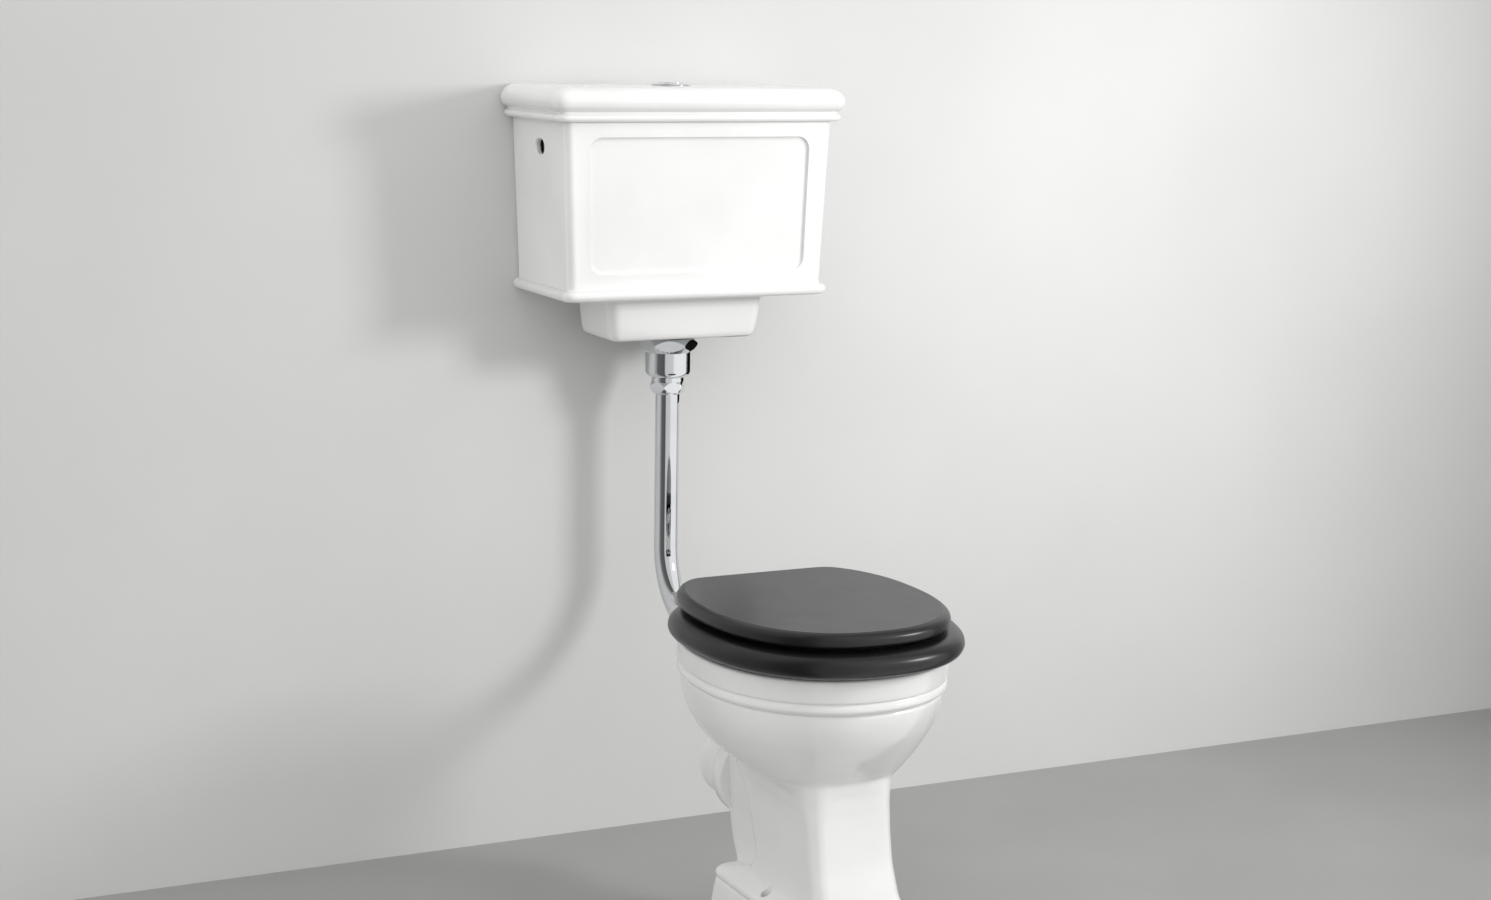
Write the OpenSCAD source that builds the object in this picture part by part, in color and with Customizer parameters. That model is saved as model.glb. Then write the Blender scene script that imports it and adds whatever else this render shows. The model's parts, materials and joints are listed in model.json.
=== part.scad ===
// Low level toilet: floor standing pan, wall hung cistern with a push button, flush pipe, seat and lid.
// Millimetres, +Z up, front towards -Y. The origin is on the floor, midway between the two floor screw holes.
// Distances named "from the wall" are measured forwards from the wall plane at y = wall_y.

/* [Layout] */
// Wall plane to the floor screw holes
wall_y = 572; // [540:1:600]
// Height of the top of the pan rim
rim_z = 405; // [395:1:420]
// Height of the centre of the flush inlet in the pan
inlet_z = 343; // [338:1:346]
// Vertical pipe, valve and button axis, from the wall
axis_d = 93.2; // [90:0.2:100]
// Height of the centre of the waste outlet
outlet_z = 195; // [190:1:200]

/* [Pan] */
// Half width of the pan at the rim
pan_hw = 158.6; // [154:0.2:164]
// Back of the rim, from the wall
pan_back = 347; // [343:1:350]
// Front of the rim, from the wall
pan_front = 731.5; // [725:0.5:740]
// Half width of the bowl opening
bowl_hw = 110; // [100:1:116]
// Back of the bowl opening, from the wall
bowl_back = 430; // [426:1:440]
// Front of the bowl opening, from the wall
bowl_front = 694; // [680:1:698]
// Half width of the pedestal column
column_hw = 56; // [52:1:58]
// Half width of the foot where it meets the floor
foot_hw = 88; // [84:1:96]
// Height of the groove under the top moulding of the foot
foot_z = 79.5; // [76:0.5:84]
// Radius of the waste outlet spigot
outlet_r = 51; // [50:0.5:52]
// Radius of the waste outlet bore
outlet_bore_r = 42; // [38:0.5:43]
// Radius of the water passage through the trap
trap_r = 27; // [24:1:28]
// Height of the lowest centre of the trap passage
trap_z = 130; // [126:1:134]
// Radius of each floor screw hole
floor_hole_r = 4; // [3:0.5:5]
// Distance from the centre line to each floor screw hole
floor_hole_x = 68; // [66:0.5:70]

/* [Cistern] */
// Half width of the cistern body under the lid
body_hw = 193.6; // [188:0.2:198]
// Front of the cistern body under the lid, from the wall
body_front = 200; // [190:1:204]
// How much narrower each side of the body is at the bottom
body_taper = 9; // [6:1:12]
// Height of the flat bottom of the cistern body
body_z0 = 793.6; // [790:0.2:798]
// Height of the top edge of the cistern body
body_z1 = 1029.2; // [1026:0.2:1032]
// Height of the bottom of the sump
sump_z = 733.6; // [730:0.2:736]
// Half width of the sump where it leaves the body
sump_hw = 115.5; // [112:0.5:118]
// Front of the sump where it leaves the body, from the wall
sump_front = 161; // [156:1:166]
// Back of the sump, from the wall
sump_back = 33; // [28:1:38]
// Thickness of the cistern walls
wall_t = 7; // [6.5:0.5:8]
// Depth of the front panel recess
panel_t = 4; // [3:0.5:5]
// Height of the bottom of the panel
panel_z0 = 834.8; // [830:0.2:840]
// Height of the top of the panel
panel_z1 = 1003.2; // [998:0.2:1006]
// Half width of the panel at its top
panel_hw = 153; // [146:1:156]
// Height of the holes in the sides
side_hole_z = 993; // [988:1:995]
// Holes in the sides, from the wall
side_hole_d = 102; // [96:1:106]
// Radius of the round ends of the oval hole on the left
side_hole_r = 9.5; // [8:0.5:10]
// Length of the oval hole on the left
side_hole_l = 32; // [26:1:36]
// Radius of each wall screw hole
wall_hole_r = 5; // [4:0.5:6]
// Distance from the centre line to each wall screw hole
wall_hole_x = 125; // [110:1:140]
// Height of the wall screw holes
wall_hole_z = 998; // [990:1:1005]

/* [Cistern lid] */
// Half width of the lid at its rounded edge
lid_hw = 212.2; // [208:0.2:216]
// Front of the lid, from the wall
lid_front = 214.5; // [211:0.5:217]
// Height of the top of the lid
lid_z = 1073.8; // [1070:0.2:1076]
// Radius of the button hole in the lid
lid_hole_r = 22; // [21:0.5:22]

/* [Flush pipe and couplings] */
// Outside radius of the flush pipe
pipe_r = 17; // [16:0.5:17.5]
// Wall of the flush pipe
pipe_t = 1.2; // [1:0.1:1.5]
// Radius of the pipe bend at its centre line
bend_r = 95; // [85:1:105]
// Width across the corners of the large nut
big_nut_w = 82.4; // [80:0.2:86]
// Width across the corners of the small nut
small_nut_w = 51; // [50.6:0.2:55]
// Diameter of the cup between the nuts
cup_w = 63; // [62:0.5:68]

/* [Seat] */
// Half width of the flat top of the seat lid
seat_hw = 144.2; // [140:0.2:150]
// Widest line of the seat lid, from the wall
seat_mid = 544.4; // [540:0.2:552]
// Widest line to the front of the flat top
seat_len = 182.2; // [176:0.2:188]
// Straight back edge of the flat top, from the wall
seat_back = 396.6; // [394:0.2:400]
// Height of the top of the closed seat lid
seat_z = 462.2; // [458:0.2:466]
// Thickness of the seat lid
seat_lid_t = 19; // [17:0.5:20]
// Thickness of the seat ring
ring_t = 29.5; // [27:0.5:30]
// How far the ring reaches out past the flat top of the lid
ring_over = 27.4; // [24:0.2:30]
// Hinge line, from the wall
hinge_d = 378; // [376:1:380]
// Distance from the centre line to each seat bolt
hinge_x = 70; // [68:0.5:72]
// Radius of the hinge rod
rod_r = 5; // [4:0.5:6]
// Running gap between the hinge rod and what turns on it
run_gap = 0.05; // [0.02:0.01:0.09]

/* [Buttons] */
// Radius of the chrome button collar
bezel_r = 27; // [25:0.5:28]
// Radius of the pair of buttons
button_r = 17.7; // [16:0.1:18]
// How far a button goes down
button_stroke = 7; // [5:0.5:8]

/* [Hidden] */
$fn = 48;
ceramic = "white";
chrome = "lightgray";
wood = "#1c1c1c";
axis_y = wall_y - axis_d;
hinge_y = wall_y - hinge_d;
ring_z0 = rim_z + 4.5;
ring_z1 = ring_z0 + ring_t;
lid_z0 = seat_z - seat_lid_t;
hinge_z = ring_z0 + 19;
sump_floor = sump_z + 9;
tower_z = 960;
lever_z = 980;
lever_x = 26;
lever_arm = 14;
rod_x = 8;
nut_z = [730, 710.4, 675, 669.2, 654];
tail_z = nut_z[1] - 11;
seal_r = 20.4;
inlet_y = wall_y - side_hole_d;
inlet_r = 10;
thread_r = 10.4;
arm_x = 124;
arm_z = side_hole_z;
wire_r = 0.6;
coil_r = 5.6;
coil_turns = 6;
cup_z = lid_z - 29.5;
spring_z = [cup_z + 0.05, lid_z - 3.05];

// Points of an arc round [cx, cy] from angle a0 to a1 in k steps.
function arc(cx, cy, r, a0, a1, k = 5) =
  [for (i = [0:k]) [cx + r * cos(a0 + (a1 - a0) * i / k), cy + r * sin(a0 + (a1 - a0) * i / k)]];

// Rounded box in plan: half width, back and front from the wall, front and back corner radius.
function box_plan(hw, back, front, rf, rb) =
  let (y0 = wall_y - front, y1 = wall_y - back)
  concat(arc(-hw + rf, y0 + rf, rf, 180, 270), arc(hw - rf, y0 + rf, rf, 270, 360),
    arc(hw - rb, y1 - rb, rb, 0, 90), arc(-hw + rb, y1 - rb, rb, 90, 180));

// Egg in plan: half width, back, widest line and front from the wall, exponent, number of points.
function egg_plan(hw, back, mid, front, p, n = 40) =
  [for (i = [0:n - 1])
    let (c = cos(360 * i / n), s = sin(360 * i / n), len = s > 0 ? mid - back : front - mid)
    [hw * sign(c) * pow(abs(c), 2 / p), wall_y - mid + len * sign(s) * pow(abs(s), 2 / p)]];

// The outline of the seat lid, grown by g, by gl towards the back, and cut straight gb behind its back edge.
function soft(u) = (u + sqrt(u * u + 60)) / 2;
function seat_plan(g, gb, gl, n = 56) =
  [for (i = [0:n - 1]) let (c = cos(360 * i / n), s = sin(360 * i / n), back = wall_y - seat_back + gb,
      y = wall_y - seat_mid + (seat_len + (s > 0 ? gl : g)) * sign(s) * pow(abs(s), 2 / 2.3))
    [(seat_hw + g) * sign(c) * pow(abs(c), 2 / 2.3), back - soft(back - y)]];

// Oval of n points, for the hole in the ring.
function oval(hw, back, front, n = 56) = egg_plan(hw, back, (back + front) / 2, front, 2.15, n);

// Closed skin through rows of the same number of points in space.
// Each row goes anticlockwise as seen from the last row's side.
module skin(rows) {
  n = len(rows[0]);
  m = len(rows);
  sides = [for (i = [0:m - 2]) for (j = [0:n - 1]) let (a = i * n + j, b = i * n + (j + 1) % n)
    each [[a, a + n, b + n], [a, b + n, b]]];
  polyhedron([for (row = rows) each row],
    concat([[for (j = [0:n - 1]) j]], sides, [[for (j = [n - 1:-1:0]) (m - 1) * n + j]]), 8);
}

// Closed skin through a stack of plans: rows of [z, points], bottom first.
module loft(rows) {
  skin([for (row = rows) [for (p = row[1]) [p[0], p[1], row[0]]]]);
}

// Closed ring through plans that go round a section: rows of [z, points], up the outside first.
module loop_loft(rows) {
  n = len(rows[0][1]);
  m = len(rows);
  points = [for (row = rows) for (p = row[1]) [p[0], p[1], row[0]]];
  faces = [for (i = [0:m - 1]) for (j = [0:n - 1])
    let (a = i * n + j, b = i * n + (j + 1) % n)
    let (c = ((i + 1) % m) * n + (j + 1) % n, d = ((i + 1) % m) * n + j)
    each [[a, d, c], [a, c, b]]];
  polyhedron(points, faces, 8);
}

// Tube along a list of points with 6 sides.
module wire(path, r) {
  m = len(path);
  dirs = [for (i = [0:m - 1]) let (d = path[min(i + 1, m - 1)] - path[max(i - 1, 0)]) d / norm(d)];
  points = [for (i = [0:m - 1]) let (u = cross(dirs[i], [0, 0, 1]) / norm(cross(dirs[i], [0, 0, 1])),
      w = cross(dirs[i], u)) for (k = [0:5]) path[i] + r * (cos(60 * k) * u + sin(60 * k) * w)];
  sides = [for (i = [0:m - 2]) for (k = [0:5]) let (a = i * 6 + k, b = i * 6 + (k + 1) % 6)
    each [[a, b + 6, a + 6], [a, b, b + 6]]];
  polyhedron(points, concat([[for (k = [5:-1:0]) k]], sides, [[for (k = [0:5]) (m - 1) * 6 + k]]), 4);
}

// Round bar or hole from one height to another.
module post(x, y, z0, z1, r) {
  translate([x, y, z0])
    cylinder(r = r, h = z1 - z0);
}

// Round bar along X.
module bar_x(x0, x1, y, z, r) {
  translate([x0, y, z])
    rotate([0, 90, 0])
      cylinder(r = r, h = x1 - x0);
}

// Round bar along Y, given as distances from the wall.
module bar_y(d0, d1, x, z, r) {
  translate([x, wall_y - d0, z])
    rotate([90, 0, 0])
      cylinder(r = r, h = d1 - d0);
}

// Both sides of the centre line.
module pair() {
  children();
  mirror([1, 0, 0])
    children();
}

// Nut with heavily chamfered corners: width across corners, bottom, top, turn,
// and share of the width at each end.
module hex_nut(w, z0, z1, turn, ends) {
  h = z1 - z0;
  r = w / 2;
  intersection() {
    translate([0, axis_y, z0])
      rotate([0, 0, turn])
        cylinder(r = r, h = h, $fn = 6);
    translate([0, axis_y, z0])
      rotate_extrude($fn = 64)
        polygon([[0, 0], [r * ends[0], 0], [r + 0.3, h * 0.48], [r + 0.3, h * 0.58],
          [r * ends[1], h], [0, h]]);
  }
}

// Outer skin of the bowl: depth under the rim, half width, back, widest line, front, exponent.
module bowl_skin() {
  grow = pan_hw - 160;
  shape = [
    [179.6, 58, 452, 560, 668, 6],
    [167.2, 62, 440, 560, 668, 5.6],
    [157, 70, 420, 556, 670, 4],
    [147.6, 84, 400, 550, 672, 3],
    [137.3, 102, 386, 546, 679, 2.6],
    [123.8, 118, 374, 545, 690, 2.35],
    [103.2, 135, 364, 546, 705, 2.2],
    [80.4, 147, 356, 548, 718, 2.15],
    [57.7, 152, 352, 550, 725, 2.15],
    [47.4, 153, 351, 550.5, 726, 2.15],
    [44.3, 152, 352, 550.5, 725, 2.15],
    [40.7, 156.5, 350, 550.5, 730, 2.15],
    [37.1, 159.5, 348, 550.5, 733, 2.15],
    [33, 159.5, 348, 550.5, 733, 2.15],
    [29.3, 158, 349, 550.5, 731, 2.15],
    [6.1, 160, 347, 550.5, 733, 2.15],
    [2, 159, 348, 550.5, 732, 2.15],
    [0, 155, 352, 550.5, 728, 2.15]];
  loft([for (s = shape) [rim_z - s[0],
    egg_plan(s[1] + grow, s[2] + pan_back - 347, s[3], s[4] + pan_front - 733, s[5])]]);
}

// Foot and column up to the bowl: height, half width, back, front, front and back corner radius.
module column_skin() {
  hw = column_hw;
  shape = [
    [0, foot_hw + 4, 415, 726, 26, 26],
    [9, foot_hw + 4, 415, 726, 26, 26],
    [18, foot_hw, 425, 722, 24, 24],
    [foot_z - 18, foot_hw - 4, 431, 719, 22, 22],
    [foot_z - 2, foot_hw - 7, 435, 717, 20, 20],
    [foot_z, foot_hw - 9, 437, 715, 19, 19],
    [foot_z + 2.5, foot_hw - 8, 436, 716, 20, 20],
    [foot_z + 7, foot_hw - 6, 434, 718, 21, 21],
    [foot_z + 11.5, foot_hw - 9, 437, 716, 20, 20],
    [foot_z + 16, foot_hw - 14.6, 447, 712, 18, 16],
    [foot_z + 23, hw + 7, 480, 703, 18, 12],
    [foot_z + 33, hw + 3, 504, 695, 18, 8],
    [foot_z + 48, hw + 1, 512, 690, 18, 6],
    [foot_z + 78, hw, 501, 679, 18, 6],
    [197, hw, 483, 671.5, 18, 6],
    [215, hw + 1, 468, 669.5, 20, 8],
    [235, hw + 3, 453, 667.5, 24, 12]];
  loft([for (s = shape) [s[0], box_plan(s[1], s[2], s[3], s[4], s[5])]]);
}

// Narrower back of the pedestal that holds the rising leg of the trap, up to the back of the bowl.
module trap_skin() {
  shape = [
    [foot_z + 4, 60, 437, 540, 5],
    [foot_z + 15, 54, 426, 540, 4],
    [foot_z + 27, 47.6, 403, 540, 4],
    [foot_z + 46, 45.6, 389, 540, 4],
    [foot_z + 77, 46.6, 381, 540, 4],
    [outlet_z - 15, 49.6, 374, 530, 3],
    [outlet_z, 51.3, 370, 520, 2.6],
    [outlet_z + 26, 53.5, 368, 510, 2.6],
    [outlet_z + 52, 59, 365, 500, 2.6],
    [outlet_z + 83, 67, 362, 500, 2.6],
    [outlet_z + 110, 71, 360, 500, 2.6]];
  loft([for (s = shape) [s[0], egg_plan(s[1], s[2], (s[2] + s[3]) / 2, s[3], s[4], 32)]]);
}

// Space inside the bowl, wider under the rim and narrowing to the trap.
module bowl_space() {
  grow = bowl_hw - 110;
  lip = rim_z - 28;
  shape = [
    [trap_z - 4, 20, 520, 560, 2],
    [trap_z + 4, 29, 511, 569, 2],
    [160, 31, 507, 577, 2],
    [200, 36, 500, 594, 2],
    [225, 42, 490, 608, 2.1],
    [240, 53, 478, 620, 2.1],
    [262, 78, 460, 636, 2.15],
    [290, 99, 440, 658, 2.2],
    [322, 111, 428, 680, 2.2],
    [348, 120, 421, 690, 2.2],
    [lip - 1, 124, 418, 700, 2.2],
    [lip, bowl_hw, bowl_back, bowl_front, 2.2],
    [rim_z - 6, bowl_hw, bowl_back, bowl_front, 2.2],
    [rim_z - 2, bowl_hw + 2, bowl_back - 2, bowl_front + 2, 2.2],
    [rim_z + 1, bowl_hw + 6, bowl_back - 6, bowl_front + 6, 2.2]];
  loft([for (s = shape)
    [s[0], egg_plan(s[1] + (s[0] < lip ? grow : 0), s[2], (s[2] + s[3]) / 2, s[3], s[4], 32)]]);
}

// Round section of the trap passage: distance from the wall, height, direction.
function trap_ring(d, z, t) =
  [for (k = [0:23]) let (a = 15 * k)
    [-trap_r * cos(a), wall_y - d - trap_r * sin(a) * sin(t), z + trap_r * sin(a) * cos(t)]];

// Passage from the bowl under the dip, up the rising leg, over the weir and down to the outlet.
module trap_space() {
  dip_r = 30;
  dip_d = 482;
  weir_r = 32;
  weir_d = 420;
  weir_z = outlet_z + 3;
  skin(concat([trap_ring(545, trap_z, 0)],
    [for (t = [0:22.5:90]) trap_ring(dip_d - dip_r * sin(t), trap_z + dip_r * (1 - cos(t)), t)],
    [for (t = [90:-26:-40]) trap_ring(weir_d + weir_r * sin(t), weir_z + weir_r * cos(t), t)],
    [trap_ring(376, weir_z + 5, -40)]));
  bar_y(329, 400, 0, outlet_z, outlet_bore_r);
}

module pan() {
  color(ceramic)
    difference() {
      union() {
        bowl_skin();
        column_skin();
        trap_skin();
        bar_y(330, 365, 0, outlet_z, outlet_r);
        bar_y(364, 415, 0, outlet_z, outlet_r - 0.6);
        bar_y(316, 380, 0, inlet_z, 33);
      }
      bowl_space();
      trap_space();
      bar_y(315, 350, 0, inlet_z, 25);
      bar_y(345, 435, 0, inlet_z, 15);
      pair() {
        post(hinge_x, hinge_y, rim_z - 60, rim_z + 1, 6.5);
        post(hinge_x, hinge_y, 260, rim_z - 25, 18);
        post(floor_hole_x, 0, -1, foot_z + 40, floor_hole_r);
      }
    }
}

// Round section of the flush pipe, solid or hollow.
module pipe_ring() {
  difference() {
    circle(r = pipe_r);
    circle(r = pipe_r - pipe_t);
  }
}

module flush_pipe() {
  bend_y = axis_y - bend_r;
  bend_z = inlet_z + bend_r;
  color(chrome) {
    translate([0, axis_y, bend_z])
      linear_extrude(nut_z[3] + 10 - bend_z)
        pipe_ring();
    translate([0, bend_y, bend_z])
      rotate([90, 0, 90])
        rotate_extrude(angle = -90, $fn = 96)
          translate([bend_r, 0])
            pipe_ring();
    translate([0, bend_y, inlet_z])
      rotate([90, 0, 0])
        linear_extrude(338 - axis_d - bend_r)
          pipe_ring();
  }
}

module flush_cone() {
  color("#303030")
    translate([0, wall_y - 300, inlet_z])
      rotate([90, 0, 0])
        rotate_extrude()
          polygon([[17.02, 0], [21, 0], [22, 14], [29, 14], [29, 15.95], [24.95, 15.95], [24.6, 40], [21, 42],
            [17.02, 42]]);
}

// Outer skin of the cistern: sump, flat bottom, bead and tapered sides.
module cistern_skin() {
  hw0 = body_hw - body_taper;
  f0 = body_front - 7;
  shape = [
    [sump_z, sump_hw - 16, sump_back + 9, sump_front - 16, 10],
    [sump_z + 3, sump_hw - 10, sump_back + 3, sump_front - 10, 14],
    [sump_z + 9, sump_hw - 7, sump_back, sump_front - 7, 16],
    [body_z0 - 0.5, sump_hw, sump_back, sump_front, 18],
    [body_z0, hw0 - 1, 0, f0, 12],
    [body_z0 + 1, hw0 + 4, 0, f0 + 5, 14],
    [body_z0 + 4, hw0 + 7.5, 0, f0 + 8.5, 16],
    [body_z0 + 8, hw0 + 8.2, 0, f0 + 9.5, 17],
    [body_z0 + 12, hw0 + 7, 0, f0 + 8, 16],
    [body_z0 + 15, hw0 + 3, 0, f0 + 4, 13],
    [body_z0 + 17, hw0, 0, f0, 12],
    [body_z1, body_hw, 0, body_front, 12]];
  loft([for (s = shape) [s[0], box_plan(s[1], s[2], s[3], s[4], s[2] > 0 ? s[4] : 3)]]);
}

// Water space of the cistern, open at the top.
module cistern_space() {
  hw0 = body_hw - body_taper - wall_t;
  f0 = body_front - 7 - wall_t - panel_t;
  shape = [
    [sump_floor, sump_hw - 25, sump_back + 16, sump_front - 24, 8],
    [sump_floor + 6, sump_hw - 19, sump_back + 10, sump_front - 18, 10],
    [body_z0 + wall_t, sump_hw - 9, sump_back + 9, sump_front - 9, 10],
    [body_z0 + wall_t + 0.5, hw0 - 5, wall_t, f0 - 5, 8],
    [body_z0 + wall_t + 6, hw0, wall_t, f0, 10],
    [body_z1 + 1, body_hw - wall_t, wall_t, body_front - wall_t - panel_t, 10]];
  loft([for (s = shape) [s[0], box_plan(s[1], s[2], s[3], s[4], 6)]]);
}

// The shallow recess in the front, with a sloping edge.
function panel_plan(g, y) =
  let (lean = (panel_z1 - panel_z0) * body_taper / (body_z1 - body_z0) / 2, r = 14, k = 4,
    w1 = panel_hw + g, w0 = panel_hw - lean + g)
  [for (c = [[-w0 + r, panel_z0 - g + r, 180], [w0 - r, panel_z0 - g + r, 270],
      [w1 - r, panel_z1 + g - r, 0], [-w1 + r, panel_z1 + g - r, 90]])
    for (i = [0:k]) let (a = c[2] + 90 * i / k, z = c[1] + r * sin(a))
      [c[0] + r * cos(a), y - (z - panel_z0) * 7 / (body_z1 - body_z0), z]];

module panel_cut() {
  face = wall_y - body_front + 7 - (panel_z0 - body_z0 - 17) * 7 / (body_z1 - body_z0);
  skin([panel_plan(0, face + panel_t), panel_plan(1.5, face + panel_t - 0.5),
    panel_plan(6, face - 0.1), panel_plan(7, face - 6)]);
}

module cistern_body() {
  gap = side_hole_l - 2 * side_hole_r;
  color(ceramic)
    difference() {
      cistern_skin();
      cistern_space();
      panel_cut();
      post(0, axis_y, sump_z - 1, sump_floor + 1, 24.5);
      for (s = [-1, 1])
        bar_x(-body_hw - 5, -body_hw + 20, inlet_y + s * gap / 2, side_hole_z, side_hole_r);
      translate([-body_hw - 5, inlet_y - gap / 2, side_hole_z - side_hole_r])
        cube([25, gap, 2 * side_hole_r]);
      bar_x(body_hw - 20, body_hw + 5, inlet_y, side_hole_z, thread_r + 0.5);
      pair()
        bar_y(-1, wall_t + 1, wall_hole_x, wall_hole_z, wall_hole_r);
    }
}

module cistern_lid() {
  in_hw = body_hw - wall_t - 3;
  in_front = body_front - wall_t - panel_t - 3;
  shape = [
    [body_z1 + 0.02, -9, 14],
    [body_z1 + 2, -6, 16],
    [body_z1 + 5, -5, 17],
    [body_z1 + 8, -6, 16],
    [body_z1 + 10, -9, 14],
    [body_z1 + 13.3, -9.5, 14],
    [body_z1 + 15.2, -4, 17],
    [body_z1 + 19, -1.5, 19],
    [body_z1 + 25.6, 0, 20],
    [body_z1 + 32.3, -1.8, 19],
    [body_z1 + 38, -6, 16],
    [lid_z - 2.5, -12, 12],
    [lid_z - 0.6, -17, 9],
    [lid_z, -24, 6]];
  inside = [
    [body_z1 - 6, in_hw - 9, 19, in_front - 9, 6],
    [body_z1 + 8, in_hw - 9, 19, in_front - 9, 6],
    [body_z1 + 12, lid_hw - 19, 12, lid_front - 19, 10],
    [body_z1 + 25.6, lid_hw - 9, 11, lid_front - 9, 14],
    [lid_z - 13, lid_hw - 12, 11, lid_front - 12, 12],
    [lid_z - 9, lid_hw - 21, 16, lid_front - 21, 8]];
  color(ceramic)
    difference() {
      union() {
        loft([for (s = shape) [s[0], box_plan(lid_hw + s[1], 2, lid_front + s[1], s[2], 4)]]);
        loft([for (z = [body_z1 - 5, body_z1 + 2]) [z, box_plan(in_hw, wall_t + 3, in_front, 8, 5)]]);
      }
      loft([for (s = inside) [s[0], box_plan(s[1], s[2], s[3], s[4], 5)]]);
      post(0, axis_y, lid_z - 30, lid_z + 1, lid_hole_r);
    }
}

module button_bezel() {
  color(chrome)
    difference() {
      translate([0, axis_y, 0])
        rotate_extrude($fn = 64)
          polygon([[0, cup_z - 3.5], [21.7, cup_z - 3.5], [21.7, lid_z + 0.02], [bezel_r - 1, lid_z + 0.02],
            [bezel_r, lid_z + 0.8], [bezel_r - 0.6, lid_z + 1.8], [bezel_r - 4, lid_z + 3],
            [button_r + 0.8, lid_z + 3.4], [button_r + 0.3, lid_z + 3], [button_r + 0.3, cup_z], [0, cup_z]]);
      for (x = [-rod_x, rod_x])
        post(x, axis_y, cup_z - 5, cup_z + 2, 3.5);
    }
}

module bezel_nut() {
  color("#d8d8d4")
    difference() {
      union() {
        translate([0, axis_y, lid_z - 17])
          cylinder(r = 33, h = 7, $fn = 8);
        post(0, axis_y, lid_z - 11, lid_z - 9.02, 35);
      }
      post(0, axis_y, lid_z - 30, lid_z, 21.75);
    }
}

// One half of the round push button, on side s, with the split beside the centre line.
module half_button(s) {
  split = 0.35;
  difference() {
    union() {
      post(0, axis_y, lid_z - 3, lid_z + 4, button_r);
      post(s * rod_x, axis_y, lid_z - 19, lid_z - 2, 4);
    }
    translate([s > 0 ? -40 + split : -split, axis_y - 20, lid_z - 24])
      cube([40, 40, 40]);
    post(s * rod_x, axis_y, lid_z - 20, lid_z - 9, 3.02);
  }
}

module button_full() {
  color(chrome)
    half_button(-1);
}

module button_half() {
  color(chrome)
    half_button(1);
}

module push_rod(s) {
  color("#e8e8e0")
    post(s * rod_x, axis_y, lever_z + 4.5, lid_z - 10, 3);
}

module rod_full() {
  push_rod(-1);
}

module rod_half() {
  push_rod(1);
}

// Compression spring round a push rod, under its button.
module button_spring(s) {
  steps = coil_turns * 8;
  color("silver")
    wire([for (i = [0:steps]) let (a = 45 * i)
      [s * rod_x + coil_r * cos(a), axis_y + coil_r * sin(a),
        spring_z[0] + wire_r + (spring_z[1] - spring_z[0] - 2 * wire_r) * i / steps]], wire_r);
}

module spring_full() {
  button_spring(-1);
}

module spring_half() {
  button_spring(1);
}

module valve_washer() {
  color("#303030")
    difference() {
      post(0, axis_y, sump_floor, sump_floor + 3, 36);
      post(0, axis_y, sump_floor - 1, sump_floor + 4, 24.2);
    }
}

// Flange, threaded tail and windowed tower that stand in the sump.
module valve_body() {
  z0 = sump_floor + 3;
  color("#e4e6e8")
    difference() {
      union() {
        post(0, axis_y, z0, z0 + 4, 38);
        post(0, axis_y, tail_z, z0 + 1, 23.7);
        post(0, axis_y, z0 + 3, tower_z, 33);
      }
      post(0, axis_y, tail_z - 1, z0 + 6, 19);
      post(0, axis_y, z0 + 5, tower_z + 1, 30.5);
      for (a = [0, 90])
        translate([0, axis_y, z0 + 33])
          rotate([0, 0, 45 + a])
            cube([18, 80, 50], center = true);
      translate([-40, axis_y - 8, 872])
        cube([20, 16, 34]);
    }
}

// Cap with a passage for the overflow and two pairs of lugs for the levers.
module valve_cap() {
  color("#3a6ea5")
    difference() {
      union() {
        post(0, axis_y, tower_z, tower_z + 6, 35);
        for (s = [-1, 1])
          for (t = [-1, 1])
            translate([s * lever_x - 4, axis_y + t * 6.5 - 1.5, tower_z + 5])
              cube([8, 3, lever_z - tower_z]);
      }
      post(0, axis_y, tower_z - 1, tower_z + 7, 14);
      for (s = [-1, 1])
        bar_y(axis_d - 12, axis_d + 12, s * lever_x, lever_z, 1.6);
    }
}

module lever_pins() {
  color("silver")
    for (s = [-1, 1])
      bar_y(axis_d - 9, axis_d + 9, s * lever_x, lever_z, 1.55);
}

// Lever on side s: the rod presses its inner end and its outer end goes up.
module flush_lever(s) {
  color("#e8e8e0")
    difference() {
      union() {
        translate([s > 0 ? rod_x - 5 : -lever_x - lever_arm, axis_y - 4, lever_z + 1])
          cube([lever_x + lever_arm - rod_x + 5, 8, 3]);
        bar_y(axis_d - 4, axis_d + 4, s * lever_x, lever_z, 3.6);
      }
      bar_y(axis_d - 6, axis_d + 6, s * lever_x, lever_z, 1.6);
    }
}

module lever_full() {
  flush_lever(-1);
}

module lever_half() {
  flush_lever(1);
}

// Overflow tube with the seal carrier at its foot and a collar for the yoke.
module valve_stem() {
  z0 = sump_floor + 8;
  color("#e4e6e8")
    difference() {
      union() {
        post(0, axis_y, z0 + 3, 952, 12);
        post(0, axis_y, z0 + 3, z0 + 9, 28);
        post(0, axis_y, 884, 890, 17);
      }
      post(0, axis_y, z0 + 2, 953, 10);
    }
}

module valve_seal() {
  z0 = sump_floor + 8;
  color("#7a2f2a")
    difference() {
      post(0, axis_y, z0 + 0.05, z0 + 3, 27);
      post(0, axis_y, z0 - 1, z0 + 4, 10);
    }
}

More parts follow.
